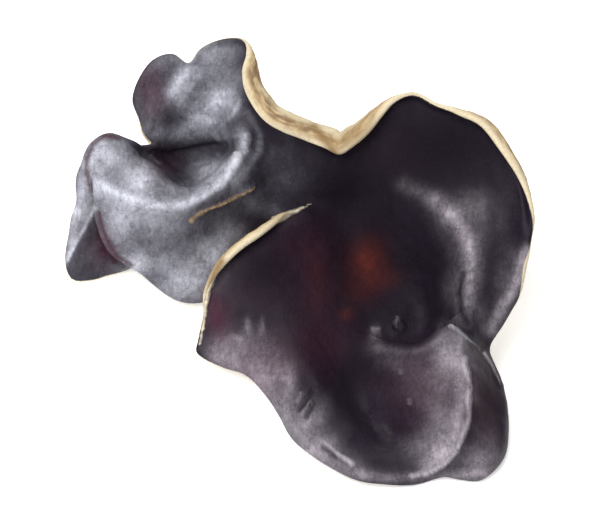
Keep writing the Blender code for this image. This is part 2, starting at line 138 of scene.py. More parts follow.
# The felt's thinning end where the front ear's margin dives under the left ear, and how far the skin is drawn
# over the margin's edge there and along the front ear's lower side.
TAIL_HALF_WIDTH = 0.85
TAIL_TAPER = 0.15
TAIL_REACH = 5.0
TAIL_ONSET = 0.6
TAIL_SOFTNESS = 0.125
SLIT_END = (-7.0, 10.6)
SLIT_TUCK = 1.5
SLIT_TUCK_REACH = 1.1
LOW_TUCK_FROM = -12.0
LOW_TUCK_FADE = 6.0
# Where the felt sets in round the rounded edge, and how much later where the skin is drawn over it.
RIM_FELT_RISE = 1.6
RIM_FELT_START = 0.2
RIM_FELT_TUCK = 0.7
# The rolled felt: its brown seams of painted shade, the pale line at its edge, its painted highlight on the
# crown, which faces this way and lies this far in from the edge, the browner trough of painted shade beside
# the edge, and the plain underside.
SEAM_HALF_WIDTH = 0.65
SEAM_STRENGTH = 0.95
CREAM_REACH = 0.45
CREAM_STRENGTH = 0.85
CROWN_LIGHT_DIRECTION = (0.0, 0.707, 0.707)
CROWN_FACING = (0.45, 0.85)
CROWN_FROM = (1.2, 2.2)
CROWN_TO = (9.0, 5.0)
TROUGH_PLACE = 1.6
TROUGH_REACH = 0.9
TROUGH_STRENGTH = 0.5
TROUGH_MORE = 0.45
UNDERSIDE_FROM = (2.5, 5.5)
# The skin's lumps and wrinkles: their size, their height and how much more of it the left ear has.
LUMPS = (1.7, 0.06, 0.09)
WRINKLES = (3.2, 0.05, 0.07)
# Soft noise by the fall, the step and the count of its layers, wrinkle noise by how narrow its crests are,
# and how far wrinkles and clots are shifted so that they don't line up with the skin's lumps.
CLOUD_LAYERS = (0.9, 2.1, 3)
RIDGE_NARROWNESS = 2.2
WRINKLE_SHIFT = 40.0
FELT_SHIFT = -60.0
# The relief sets in this far from the edge: the sheet's cockling, which fades in slower, the felt's clots,
# and the groove in the left ear's rim.
RELIEF_FROM = (-0.4, 1.2)
COCKLE_HEIGHT = 0.20
COCKLE_SIZE = 6.5
COCKLE_FADE = 5.0
FELT_LUMPS = 0.10
FELT_LUMP_SIZE = 1.3
GROOVE_PLACE = 1.5
GROOVE_DEPTH = 0.25
GROOVE_REACH = 0.45
# The pit in the front ear's hollow, a raised ring round a small hole: each one's radius, height and reach.
PIT_PLACE = (8.6, -8.6)
PIT_FORMS = ((0.9, 0.32, 0.4), (0.0, -0.2, 0.5))
# The step along the crack, raised on one side and sunk on the other.
CRACK_RISE = 0.42
CRACK_SINK = 0.35
CRACK_REACH = 0.5
CRACK_END_REACH = 1.1

# Stations round the margin, part by part: the place as seen, the height above the floor, and the length and
# turn of the margin's curl. A sixth value puts the flap that far aside in the pattern, clear of the skirt.
MARGIN = (
    # the top rim, from the pinch to the right
    ("neck", (0.3, 19.7, 19.5, 8, 190), (2.7, 21.2, 21, 7.2, 190)),
    ("front", (5, 23.2, 23, 6, 185), (7.3, 25.7, 25.5, 4.4, 165), (9.3, 26.8, 26.8, 3.2, 115),
     (11.7, 27, 27, 2.4, 70), (14.7, 25.3, 26.2, 2.6, 80), (18.3, 24.3, 25.8, 3.6, 130),
     (22.3, 22.7, 25.2, 4.2, 160), (25.2, 18.7, 24, 4.2, 160), (27.5, 14.3, 22.3, 3.6, 140),
     (28.2, 10, 20.5, 2.8, 90), (27.8, 6, 18.5, 2.2, 20), (27.2, 2, 15.8, 2.4, 90),
     (26.2, -1.7, 13.2, 2.4, 60), (25, -5.5, 10.5, 2, -30), (23.3, -8.7, 8.8, 1.6, -20),
     (22.3, -11.7, 7.6, 1.4, -10), (23.8, -15.3, 6.2, 2, -40), (24.8, -19, 5.2, 2.4, -50),
     (24.8, -23.7, 4, 2.8, -60), (24, -27.3, 3.3, 2.8, -60), (21.5, -30, 2.9, 2.8, -60),
     (18.3, -30, 2.9, 2.8, -60), (14.7, -29.8, 2.9, 2.8, -65), (10.7, -30.5, 2.7, 2.8, -65),
     (6.7, -30.3, 2.9, 2.8, -65), (3.3, -29.7, 3.2, 3, -70), (0, -28, 3.6, 3.4, -80),
     (-3.3, -26, 3.8, 3.6, -80), (-6.7, -23.8, 4, 3, -70), (-8.8, -21, 4, 2, -40),
     (-11.3, -17.7, 4.2, 1.6, -15), (-14.5, -14.5, 4.2, 1.6, 0), (-18.3, -13.2, 3.6, 1.6, 0),
     (-22.1, -12, 3.2, 1, 0), (-21.7, -10.2, 4, 1.2, 0), (-20.5, -6, 6.2, 1.6, 10),
     (-20, -3, 8.2, 2.4, 90), (-18.7, 0.5, 10, 3.4, 160), (-16, 3.3, 11.4, 3.6, 165),
     (-12.7, 5.8, 12.4, 3.4, 165), (-9, 8.3, 12.9, 2.6, 130)),
    ("neck", (-6.3, 9.8, 12.9, 1.1, 40), (-6.6, 11.2, 12.2, 0.9, 0)),
    # the left ear's lower margin, behind the front ear
    ("left", (-9.2, 10, 9.6, 1.2, 0), (-12, 7.6, 6.8, 1.6, 0), (-15, 4.5, 4.6, 1.6, 0),
     (-17.6, 1.3, 3.4, 1.6, -10), (-20.2, -1.6, 2.8, 1.8, -20),
     # skirt
     (-23, -2.7, 2.8, 1.8, -30), (-26, -2.3, 2.9, 1.8, -30), (-29.7, 0.2, 3.4, 1.8, -30),
     (-33, 2.5, 4.8, 1.6, 0), (-36.2, 4.7, 6.6, 1.4, 10), (-37.8, 8.7, 9.8, 1.4, 20),
     (-38.5, 13, 13, 1.2, 10), (-38.9, 14.5, 14, 0.9, 0)),
    ("fold", (-39.7, 16, 14.5, 0.7, 0)),
    # the flap behind the skirt, its inner margin hidden
    ("flap", (-40.1, 13.4, 11.6, 0.8, 0, -1.3), (-38.2, 10.3, 7.8, 1.1, 0, -3.6),
     (-36, 6.5, 4.2, 1.5, 0, -6.4), (-34.4, 3.1, 1.6, 1.5, 0, -8.4),
     (-35, 2, 1.5, 1.5, 0, -9.6), (-37.7, 1.3, 1.4, 1.5, 0, -9.4),
     (-40, 0.7, 1.3, 1.6, 0, -9.2), (-42.3, 0.8, 1.4, 1.6, 0, -9), (-42.9, 4.3, 3.4, 1.1, 0, -7.6),
     (-42.1, 9, 7.2, 1.1, 0, -5), (-41.4, 13.7, 11.2, 1.1, -10, -2.8)),
    ("fold", (-40.6, 17.3, 14.8, 1.2, -20, -1.2), (-39, 20.2, 17.6, 1.6, -30),
     # the lobe above the fold, the left sinus and the upper lobe
     (-36.7, 21.2, 18.4, 1.8, -40)),
    ("left", (-33.8, 20.3, 17.6, 1.6, -30), (-31.3, 19.7, 15.2, 1.2, 0), (-29.6, 20.4, 14.2, 1.2, 0),
     (-30.7, 22.5, 16.2, 1.4, -10), (-30.8, 25, 17.8, 1.8, -30), (-31.5, 27.7, 19.6, 2, -40),
     (-30.7, 30.3, 21.6, 2, -40), (-29, 32.7, 23.2, 2, -40), (-26.7, 33.5, 23.8, 1.8, -20),
     (-24, 32.5, 23.6, 1.4, 0), (-21.7, 34.8, 25, 1.6, 10), (-19, 36, 25.8, 1.6, 10),
     (-16.3, 36, 26.2, 1.8, 30), (-14.5, 33.8, 26, 3, 130),
     # the right rim, rolled to the dark side, down to the pinch
     (-14.2, 31.7, 25.8, 4, 180), (-13.5, 29, 25, 4.8, 190), (-11.7, 26.3, 24, 5.4, 195),
     (-9, 24.3, 22.9, 5.6, 195)),
    ("neck", (-5.7, 22.7, 21.4, 5.6, 195), (-2.3, 21, 20, 6.8, 192)))
# Points on the folds inside the margin, part by part: the place as seen, the height, and how far aside.
FOLDS = (
    ("neck", (-1.7, 15.3, 16.3), (-3.7, 17, 17.6), (-5, 13.7, 14.4), (-3, 11.7, 12.8), (-7.3, 15.3, 14.8),
     (1.3, 17, 17.6)),
    ("front",
     # the back wall
     (6.7, 17.7, 19.6), (10.3, 22.7, 23.6), (15, 20.7, 23.6), (20.7, 17.3, 23), (25.3, 12, 21.2),
     (3.7, 13, 14),
     # dark groove beside the right ridge
     (8.7, 7.7, 12.6), (12.3, 4.3, 11.4), (15, 0, 9), (15.7, -4.7, 6),
     # right ridge
     (7.7, 14, 16.8), (12.3, 12, 18), (16.3, 8, 18.4), (18.7, 3, 17.2), (20, -2.3, 14.8),
     (20.5, -7.2, 11.4),
     # furrow right of the ridge and second bulge
     (20.3, 7.7, 19), (22, 1, 15.8), (22.3, -4, 12.4), (22.3, -7.5, 9.8), (25.2, 3.7, 17.6),
     (24.5, -1.7, 14),
     # hollow
     (4, 6.7, 8.6), (4.3, 1.7, 5.2), (9.3, 1.7, 7.4), (5.7, -3.7, 3.4), (10.3, -4.3, 3.8),
     (8.7, -8.3, 2.2), (-1.7, 6.3, 9), (-1, 0, 5.6), (-0.3, -5.7, 4.4),
     # left side
     (-7.7, 4.7, 10.6), (-7.7, -1, 8.2), (-14.3, 0.7, 10.4), (-14, -4.3, 8.4), (-16.7, -8.3, 6.2),
     (-11.7, -9.3, 7.6), (-8, -13.3, 7.2), (-4.7, -17.3, 6.4), (-1.7, -21.3, 5.4), (1.3, -24.7, 4.6),
     (-5, -9.3, 5.8),
     # crescent valley
     (-0.7, -12, 3.2), (1, -17, 2), (4, -21.7, 2), (8.3, -25.7, 2.6),
     # front lobe crest and dome
     (9, -10.8, 8.4), (12.7, -11, 11.2), (16.7, -8.5, 14.6), (19, -11, 13.4),
     # behind the crest, out of sight
     (16.6, -9.9, 9.6), (16.2, -10.3, 5.4), (12.6, -11.9, 7.4), (12.4, -11.7, 3.4), (8.8, -11.6, 4.2),
     (6, -14.3, 5.6), (11, -15, 10.4), (15.3, -14.7, 12.8), (7.7, -19.7, 5.4), (13.3, -20.3, 9.4),
     (12.7, -26, 5.4), (18.3, -15, 12.5), (19.9, -15.5, 12.4), (21.3, -15.8, 10.4), (18.5, -19.5, 10.4),
     (20.2, -19.7, 10.3), (21.5, -19.8, 8.3), (17.8, -23.7, 8), (19.4, -24, 7.7), (20.9, -24.3, 5.9),
     (15.7, -27.3, 5.5), (17.3, -28, 4.9), (22.8, -17, 7.6), (23, -21.7, 5.6)),
    ("left",
     # upper lobe
     (-20.7, 30.3, 21.2), (-16.7, 27.7, 21.8), (-26.3, 29.3, 19.8), (-28, 25.7, 16.8), (-23, 25.3, 15.9),
     (-27.7, 21.7, 12.2), (-24, 20.3, 9.2), (-20, 20.2, 10),
     # socket
     (-28, 18, 9.8), (-25, 13.3, 11.4), (-21.7, 14.3, 12.2), (-25.3, 15, 9), (-22.3, 16.3, 9.4),
     (-19, 16.8, 13),
     # lip and ridge
     (-16, 24.3, 20.8), (-16.2, 21, 19.6), (-17.2, 17.7, 18.2), (-19.3, 14.7, 16.6), (-22.7, 12.5, 15.2),
     (-26, 12, 14.4), (-30, 17.2, 15.6), (-27.8, 14.7, 15), (-33.3, 18, 16.8), (-34, 13.3, 14.6),
     # skirt
     (-33.3, 8.3, 10.4), (-28.3, 7, 9.4), (-23.3, 7, 9.4), (-30.7, 3, 6), (-25, 1.7, 5.4),
     # right of the lip, down to the sinus
     (-12.3, 21.7, 19.6), (-10.7, 17.3, 15.8), (-12.7, 13.3, 12.2), (-20.7, 10.7, 13.2),
     (-19.3, 8.7, 10.2), (-15.7, 10.7, 10.8), (-18.3, 5, 6.6), (-13.3, 9, 8.6)),
    ("flap", (-40.7, 5, 4.2, -7.6), (-39.7, 11, 8.6, -4.4), (-37.3, 3.3, 2.6, -8.6)),
    ("fold", (-37.3, 18.7, 16.8)))
# Flat lines: where the left ear ends and the front ear begins, and where the flap parts from the skirt.
NECK_LINE = (
    (0.5, 24), (0, 12.2), (-5.9, 5.2), (-8.3, 5.2), (-11, 4), (-15, 0.6), (-19, -4.2), (-21.3, -7.5),
    (-30, -16))
SLIT_LINE = ((-35, 21), (-37.5, 15.9), (-40, 12.2), (-40.2, 9.8), (-40, 7.5), (-40.3, 4.5), (-40.3, -4))

# Marks on the skin, as seen.
# The fold line round the front lobe, with a painted highlight along it and painted shade beside it.
CREST_LINE = (
    (18.7, -13.3), (19.5, -15.7), (19.7, -18.3), (19.7, -21.3), (19.1, -24.3), (17.9, -27.5), (16, -29.8),
    (13.3, -31.1), (10.7, -31.5))
# The sharp lip of the front lobe, right of the pit, with a painted highlight along it and painted shade
# above.
LIP_LINE = ((17.1, -8.5), (17.8, -9.1), (19, -10.3), (20.7, -11.7))
# The faint end of that lip, with a fading painted highlight.
LIP_TAIL = ((21.8, -12.7), (23.2, -14.8), (24.5, -17.7))
# The crack in the left ear's skin, whose torn edge shows tan.
CRACK_LINE = ((-23.1, 9.7), (-21.7, 10.6), (-19.5, 11.5), (-16.9, 12.8), (-14.5, 14))
# The pale edge above the bulge at the front ear's lower left, a painted highlight.
PALE_LINE = ((1.7, -29.8), (-0.3, -28.5), (-1.5, -27.5), (-2.8, -26.4), (-4.7, -25.5), (-6, -24.7))
# The ridge round the left ear's socket, with a painted highlight along its brightest edge.
RIDGE_LINE = (
    (-16.3, 19), (-16.6, 18), (-17.7, 16.5), (-18.5, 15.2), (-19.5, 13.9), (-21.3, 12.9), (-22.8, 11.6))
# The front lobe's upper edge, with the hollow above it painted dark as shade.
LOBE_EDGE = (
    (4.3, -10), (6, -10.6), (8, -10.9), (10.3, -11.2), (12.3, -10.9), (14, -10), (15.2, -8.9), (16, -8.3))
# The edge of the left ear's lower fold, beside the crease painted dark as shade.
FOLD_EDGE = ((-32.3, 19.5), (-31, 18.7), (-29.7, 17.4), (-28.5, 15.8), (-27.2, 14.5), (-25.7, 13.7))
# The lower edge of the left ear's upper lobe, which overhangs the socket, with painted shade below it.
OVERHANG_EDGE = ((-18.3, 21.3), (-20.3, 21.1), (-22.3, 20.8), (-25, 20.1), (-27.7, 19.7), (-30.3, 20.3))
# The edge of the left ear's flap, inside which its hollow is painted dark as shade.
FLAP_EDGE = ((-38.7, 12.2), (-39.5, 10.3), (-40.7, 7.8), (-42.2, 4.7), (-43.7, 1.7), (-45, -0.7))
# The lip round the left ear's socket.
SOCKET_LIP = (
    (-16.2, 25.7), (-15.5, 22), (-16.3, 18.3), (-18.3, 15.3), (-21.5, 12.8), (-25, 11.5), (-29.7, 11.4),
    (-34, 12.7), (-37.7, 14.3))
# The deep crease between the left ear's upper lobe and the socket's floor.
SOCKET_CREASE = ((-31.3, 19.5), (-28.7, 18.7), (-25.7, 19.7), (-21.7, 20.5), (-18, 20))
# Where the crack forks and fades.
CRACK_ENDS = (((-23.1, 9.7), (-24, 8.9)),)
# Wine-coloured margins of the left ear's lower fold.
RED_LINES = (
    ((-35.7, 21.5), (-37.7, 22), (-39.3, 20.7), (-40.3, 18.7), (-40.4, 16.7), (-39.8, 13.8)),
    ((-38.5, 10), (-38.2, 8), (-37.3, 5.7), (-35.8, 3.2), (-33.3, 1.6)),
    ((-39.2, 8.3), (-38.8, 6), (-37.9, 3.9), (-36.2, 2.1)))
# Short furrows low on the front ear, painted dark as shade.
STROKES = (
    ((-4.8, -18.5), (-5.5, -19.8), (-6.5, -21.5)), ((-4.5, -20.3), (-5.5, -22.5)),
    ((-3, -27.2), (-1.8, -27.9), (-0.8, -28.8)), ((19.5, 0.3), (18.9, -2.7), (19.1, -5.7), (19.9, -7.9)))
# Short pale scuffs of bloom and painted highlights on the skin.
STREAKS_AND_HIGHLIGHTS = (
    ((-6.4, -18.9), (-6.9, -20.2)), ((-5, -20.4), (-6.2, -22.2)), ((-4.3, -22.3), (-5.6, -24.1)),
    ((-8.1, -23.7), (-6.4, -24.9)), ((-25.7, 31), (-24.7, 29.7), (-23.2, 28.8)),
    ((-21.3, 24.5), (-20.5, 23.2), (-19.6, 21.3)), ((-23, 27.7), (-21.8, 26.2)),
    ((20.3, 5), (20.6, 2.3), (20.3, -0.7)), ((8.7, -7.2), (8.4, -8.2)), ((-29.8, 19), (-28.9, 18)))
# Small pale specks, painted glints.
GLINTS = (
    ((11, -19.8), (11.1, -20.2)), ((16, -25.5), (16.3, -26)), ((9.5, -15.3), (9.7, -15.5)),
    ((-19.8, 19.3), (-19.5, 19.1)), ((4.8, -8.7), (5.7, -8.9)))
# The felt's last thin sliver, where the front ear's margin dives under the left ear.
MARGIN_TAIL = ((-10.7, 8.7), (-9, 9.4), (-7.5, 10.2), (-6.3, 10.7), (-5, 11.4))
# Where the left ear's rolled margin laps over the front ear's, with painted shade along it.
RIM_SEAM = ((-4.5, 23.6), (-3.5, 22.3), (-2.2, 20.7), (-0.8, 18.8))
# Where the front ear's margin turns under itself at the left, with painted shade in the fold.
RIM_SPLIT = ((-19.1, 2.2), (-20.1, 0.7), (-20.8, -1), (-21.1, -2.5))
# The felt's thin pale edge down the front ear's left side.
MARGIN_LEFT = ((-20.5, -0.3), (-21.3, -2.7), (-21.8, -5.3), (-22.1, -8.3), (-22.6, -11))
THIN_LINES = (
    CREST_LINE, LIP_LINE, LIP_TAIL, CRACK_LINE, PALE_LINE, RIDGE_LINE, LOBE_EDGE, FOLD_EDGE, OVERHANG_EDGE,
    FLAP_EDGE) + CRACK_ENDS + RED_LINES + STROKES + STREAKS_AND_HIGHLIGHTS + GLINTS
# How fast the painted highlight lines and the pale margin lines thin out along their length, and how much
# wider the margin's tail is.
CREST_HIGHLIGHT_TAPERS = ((CREST_LINE, 0.0), (LIP_TAIL, 0.06), (PALE_LINE, 0.05))
LIP_TAPER = 0.06
MARGIN_TAIL_TAPER = 0.10
MARGIN_TAIL_EXTRA = 0.24
MARGIN_LEFT_TAPER = 0.03
# Crisp edges with painted shade on their left: the line, how far the shade reaches, its strength and the
# step.
SHADED_EDGES = (
    (LOBE_EDGE, 4.0, 0.92, 0.45),
    (FOLD_EDGE, 2.3, 0.8, 0.4),
    (OVERHANG_EDGE, 2.3, 0.75, 0.45),
    (CREST_LINE, 1.7, 0.45, 0.22),
    (LIP_LINE, 1.0, 0.65, 0.2),
)
# Forms of the whole sheet, then of its skin alone: the lines, how high they stand and their reach.
SHEET_FORMS = (
    ((SOCKET_LIP,), 0.55, 1.2),
    ((SOCKET_CREASE,), -0.90, 1.5),
)
SKIN_FORMS = (
    ((CREST_LINE, LIP_TAIL), 0.22, 0.5),
    ((LIP_LINE, PALE_LINE, RIDGE_LINE), 0.30, 0.45),
    (STROKES, -0.28, 0.40),
    (STREAKS_AND_HIGHLIGHTS, 0.14, 0.35),
    (GLINTS, 0.20, 0.45),
    (RED_LINES, -0.15, 0.5),
)
# Ovals of grey bloom on the skin, with painted sheen where the folds face the light: across, up, the reach
# both ways, the strength, and the turn if any.
BLOOM_AND_SHEEN = (
    (-26.3, 30.3, 1.5, 3, 0.55, -35), (-24.7, 31.7, 1.3, 2.3, 0.3, -20), (-19.7, 27.7, 3.3, 2.3, 0.72, 10),
    (-21.3, 32.7, 3.3, 2.7, 0.32), (-16, 30.3, 2.3, 3.3, 0.28), (-22, 24.7, 3, 2, 0.72, -10),
    (-26.3, 28.3, 1.7, 2.3, 0.35), (-20.7, 35.7, 4.3, 1.7, 0.32), (-28.3, 34.3, 3, 1.7, 0.22, 20),
    (-22.3, 29.7, 4, 4, 0.12), (-17.7, 26.3, 1.7, 2.3, 0.18), (-30.3, 25.7, 2, 4.7, 0.22),
    (-25.7, 22.3, 4, 1.7, 0.48), (-29.7, 23, 1.7, 2, 0.2), (-19.3, 22, 2, 1.3, 0.28),
    (-15.8, 21.3, 0.8, 2, 0.45), (-21.3, 17, 3.7, 2.3, 0.5, 20), (-24.3, 13.7, 2, 1, 0.2),
    (-37, 19, 3.3, 3, 0.58), (-32.3, 15.3, 3, 2.3, 0.7, -25), (-38.7, 14.3, 1.7, 2.7, 0.62),
    (-41, 10.7, 1, 2.7, 0.34), (-34.3, 11.3, 4.3, 2.7, 0.34), (-35.7, 7.7, 2.7, 3.3, 0.46),
    (-29.3, 8.3, 4.7, 2.7, 0.4), (-30.3, 2.3, 5.7, 3, 0.3), (-24.7, -1.3, 5.3, 3.3, 0.55, 20),
    (-33.3, 1.3, 2.7, 1.7, 0.55, 25), (-20.7, 3.7, 3, 2.7, 0.52, 20), (-17.3, 6.7, 2.7, 2, 0.34, -30),
    (-16, 14.3, 2.3, 3, 0.22, 30), (-12.3, 19, 2, 3.3, 0.14), (-9, 20.7, 2.3, 2.7, 0.15),
    (-9, 15, 5.3, 3.3, 0.18, 10), (-11.7, 10.3, 4.7, 2, 0.22, -20), (16.7, -12.7, 2.8, 4.3, 0.55),
    (12, -17, 4.3, 4.7, 0.22), (8, -13.7, 3, 1.7, 0.2), (15.7, -22, 3.3, 4.3, 0.34),
    (15, -27.7, 4, 3.3, 0.48), (5.7, -19, 2.7, 4.7, 0.1, 10), (9.7, -27, 4, 2.7, 0.14),
    (22.3, -29.3, 4.3, 2.7, 0.42), (22.7, -25, 2.7, 3.3, 0.22), (25, -1, 2, 3.3, 0.22),
    (27, 2.7, 1.7, 2.7, 0.22), (17, -3, 1.7, 3.3, 0.16), (22, -5.7, 1, 2.3, 0.22),
    (20.7, 11.3, 3, 2.7, 0.26), (23.3, 7.7, 3, 5, 0.2), (14.7, 12, 1.7, 1.3, 0.22, 35),
    (-15.7, -10.7, 6, 3.3, 0.3), (-10.7, -15, 3, 3, 0.36, 30), (-4.7, -22, 3.3, 3, 0.4, 30),
    (-15, -8, 0.5, 1.3, 0.34), (-12.7, -8, 0.4, 1.5, 0.3), (-16.7, -10, 1.3, 0.7, 0.2),
    (-8.3, -17.3, 1.3, 3.3, 0.36), (-3.3, -27, 3, 1.7, 0.4, 35), (5.3, -8.8, 1, 1.3, 0.5),
    (5, -11.3, 2.3, 1.7, 0.24))
# Where light comes through the thin sheet and it looks orange-red.
EMBER = (
    (4, 2.3, 2.7, 3.3, 0.54, -10), (6.7, -0.7, 2.7, 1.7, 0.2, 15), (2.7, -2.7, 2.7, 2.3, 0.16),
    (-4, -0.7, 2, 5.7, 0.13), (0.7, -6.3, 1.1, 1, 0.3))
# Where the skin has a wine tint.
MAROON = (
    (-3, 0, 4.7, 8.7, 0.34), (-20, -6.3, 2, 3.7, 0.8, 10), (-13.7, -1.7, 5.3, 5.3, 0.16),
    (-7.7, 4.3, 5.3, 4, 0.24), (-1.7, -11, 5.3, 4.7, 0.36), (-30.3, 29, 2.3, 4.7, 0.5, 10),
    (-28.3, 18.3, 2.7, 2.3, 0.4), (-38.3, 4, 2.3, 2.7, 0.4), (11, 20, 7.3, 4, 0.16),
    (22.3, -20, 2.7, 6, 0.45), (11.7, -17.7, 5, 5.3, 0.3), (-11.7, -13.7, 6.7, 4, 0.26, 30))
# Where the skin is painted blackest, as shade in hollows and on the front ear's top, and has no shine at all.
DULL_SHADE = (
    (15, 20, 12, 8, 0.95), (-2.3, 14, 8, 5.3, 0.9), (-12.3, 0.7, 5, 5.3, 0.75), (4.3, 0, 8.7, 10, 0.9),
    (23, -19, 3, 7.3, 0.6), (22.3, 0, 3, 4.7, 0.5), (1.3, -15.7, 2.7, 6.7, 0.9, -15))
# Painted shade in hollows and under folds, with some darker bare patches, where the bloom is taken off.
SHADE = (
    (-27.7, 17.7, 2.3, 2.3, 0.85, -20), (-21.7, 8, 1.3, 1.7, 0.75, 25), (-30.3, 27.7, 1.7, 3, 0.12),
    (1.3, -15.7, 2, 6, 0.5, -15), (-38.3, 3.3, 1.3, 1.3, 0.4), (-5.3, -20.7, 1.7, 2, 0.4, 30),
    (14.2, -18.7, 1, 1.3, 0.3))
# Ovals where the rolled felt is painted browner.
BROWNER_FELT_OVALS = (
    (2.7, 22.2, 4.7, 2, 0.62, 31), (-9.3, 9.3, 3, 1.7, 0.5, 28))
# Bloom with painted sheen that follows a fold: the reach to each side, the strength and the line.
BLOOM_AND_SHEEN_BANDS = (
    (0.5, 0.3, (-24.7, 32.7), (-25.8, 31), (-27.3, 28.7)),
    (0.4, 0.26, (-22.7, 32), (-23.7, 30.3), (-25, 28.7), (-26, 27.3)),
    (0.5, 0.34, (-18.7, 29.3), (-20.3, 27.3), (-22.3, 25.3), (-24.3, 24)),
    (0.4, 0.3, (-16.3, 27.7), (-17.3, 25.7), (-19, 24)),
    (0.7, 0.54, (-15.3, 22), (-15.7, 20), (-16.8, 18), (-18, 16), (-19.7, 14.2), (-21.7, 12.7),
     (-24.3, 11.5), (-27, 10.8), (-29.7, 11), (-33.7, 12.2), (-37.7, 14)),
    (2, 0.26, (-17.3, 21), (-17.3, 18.3), (-19, 15.7), (-22, 13.3), (-25.7, 11.3), (-29.7, 11.1),
     (-34, 12.3), (-37.7, 14)),
    (0.7, 0.34, (-14.7, 25.7), (-13, 22.7), (-13.3, 20), (-14.7, 17.3), (-17, 14.7)),
    (1.4, 0.46, (-39, 21), (-41.2, 15.7), (-42.3, 10)),
    (0.9, 0.54, (-42.5, 10), (-43, 6.3), (-43.3, 2.3)),
    (0.5, 0.5, (-39.3, 10.7), (-41.7, 6), (-44, 2)),
    (1.7, 0.24, (9.7, 14.3), (12.3, 13), (14.7, 11.7), (17.3, 9.3)),
    (1.2, 0.36, (17.3, 9.7), (18.8, 7.7), (19.8, 5), (20.3, 2.3), (20.2, -1.7), (20, -4.3)),
    (3.3, 0.24, (16.7, 9), (18.3, 6), (19.3, 2.7), (19.3, -1), (18.3, -5.7)),
    (1, 0.14, (20.7, 6.3), (22, 1.7), (22, -3.7)),
    (1.3, 0.54, (29.3, 3.7), (28.3, 1), (27, -2.3), (25.2, -5.3), (23.5, -8.7)),
    (0.7, 0.2, (5.7, -11.5), (8, -11.8), (10.3, -12.1), (12.3, -11.8), (14.3, -10.8), (15.7, -9.7)),
    (1.3, 0.42, (18.5, -10.3), (18.7, -15), (18.9, -19), (18.5, -22.3), (17.7, -25.3), (16, -28.3),
     (13, -30.5)),
    (1, 0.3, (20.3, -13), (21, -15.7), (20.7, -19.7)),
    (1, 0.22, (-31.3, 18), (-29.3, 15.7), (-27, 13.3)),
    (2.8, 0.42, (-19.3, -13), (-17.3, -13.8), (-14.7, -15.2), (-12.3, -18), (-10.3, -21), (-8, -24.3),
     (-5, -27.7), (0.7, -30.7)),
    (1.1, 0.4, (2.7, -31.3), (6.3, -32), (11, -32), (16, -31.7), (22.3, -31.3)))
# Painted shade that follows a crease, lies beside a rolled rim, or fills a furrow.
SHADE_BANDS = (
    (1.3, 0.72, (-29.7, 19.3), (-27.7, 18.8), (-25.7, 19.2), (-21.7, 20), (-19, 19.8)),
    (1.1, 0.6, (-15.5, 29), (-14.2, 26), (-12.3, 23.3), (-9.7, 21.5)),
    (1, 0.45, (23.7, 10.3), (24, 5), (23.3, 0), (22, -4.3)))

# The lamps: azimuth, elevation, width, watts and colour. They stand this far off, in metres.
LAMPS = {
    "window": (-60.0, 68.0, 0.5, 4.8, (1.0, 0.99, 0.98)),
    "fill": (-15.0, 35.0, 0.4, 1.2, (0.98, 0.98, 1.0)),
    "back": (165.0, 48.0, 0.3, 1.1, (1.0, 0.99, 0.97)),
}
LAMP_DISTANCE = 0.6
SURROUND_COLOUR = (0.96, 0.98, 1.0, 1.0)
SURROUND_STRENGTH = 0.3
FLOOR_REACH = 3.0

# The camera: a long lens, the width it takes in, and the point it looks at, as seen and by its height.
VIEW_ELEVATION = 45.0
LENS = 1200.0
SENSOR = 36.0
VIEW_WIDTH = 95.24
CAMERA_AIM = (-6.71, 2.0, 8.0)


def seen(across, up, height):
    """The body point at a place as seen and a height."""
    return (across, up * math.sqrt(2.0) - height, height)


def as_seen(points):
    """The places as seen of body points."""
    return np.column_stack((points[:, 0], (points[:, 1] + points[:, 2]) / math.sqrt(2.0)))


def tilted(points, degrees):
    """Points turned about the axis that runs across, from body axes to the pattern's or back."""
    angle = math.radians(degrees)
    x, y, z = np.asarray(points, float).T
    along = y * math.cos(angle) + z * math.sin(angle)
    return np.column_stack((x, along, z * math.cos(angle) - y * math.sin(angle)))


def ramp(values, start, end):
    """0 up to the start and 1 from the end on, which may be the lower of the two, and smooth between."""
    t = np.clip((values - start) / (end - start), 0.0, 1.0)
    return t * t * (3.0 - 2.0 * t)


def bump_profile(distance, reach):
    """1 at no distance, falling off softly within the reach."""
    return np.exp(-(distance / reach) ** 2)


def away_from(place, places):
    """Distance of each place from one place."""
    return np.hypot(*(places - place).T)


def side_of(line, places):
    """Signed distance of flat places from a bent line, positive to the left of its direction."""
    line = np.asarray(line, float)
    signed = np.full(len(places), np.inf)
    for start, end in zip(line[:-1], line[1:]):
        run = end - start
        reach = np.clip((places - start) @ run / (run @ run), 0.0, 1.0)
        away = places - (start + reach[:, None] * run)
        distance = np.hypot(away[:, 0], away[:, 1])
        turn = run[0] * away[:, 1] - run[1] * away[:, 0]
        nearer = np.where(turn > 0, distance, -distance)
        signed = np.where(distance < np.abs(signed), nearer, signed)
    return signed


def signed_distance(lines, places):
    """The distance to the nearest of several lines, negative on its right."""
    distances = np.array([side_of(line, places) for line in lines])
    nearest = np.abs(distances).argmin(axis=0)
    return distances[nearest, np.arange(len(places))]


def line_distance(lines, places):
    """The distance to the nearest of several lines."""
    return np.abs(signed_distance(lines, places))


def tapered(line, places, taper):
    """A distance from a line that grows away from its start, so that the line thins out."""
    return np.abs(side_of(line, places)) + taper * away_from(line[0], places)


def left_of(line, places, reach, fade):
    """Near 1 close on a line's left, falling off within a reach, 0 on its right, and fading at both ends."""
    across = side_of(line, places)
    near = ramp(across, -EDGE_SOFTNESS, EDGE_SOFTNESS) * bump_profile(np.maximum(across, 0.0), reach)
    for end in (line[0], line[-1]):
        near *= ramp(away_from(end, places), 0.0, fade)
    return near


def joined(strengths):
    """Several soft covers taken together, so that they never add up to more than full."""
    return 1.0 - np.prod([1.0 - strength for strength in strengths], axis=0)


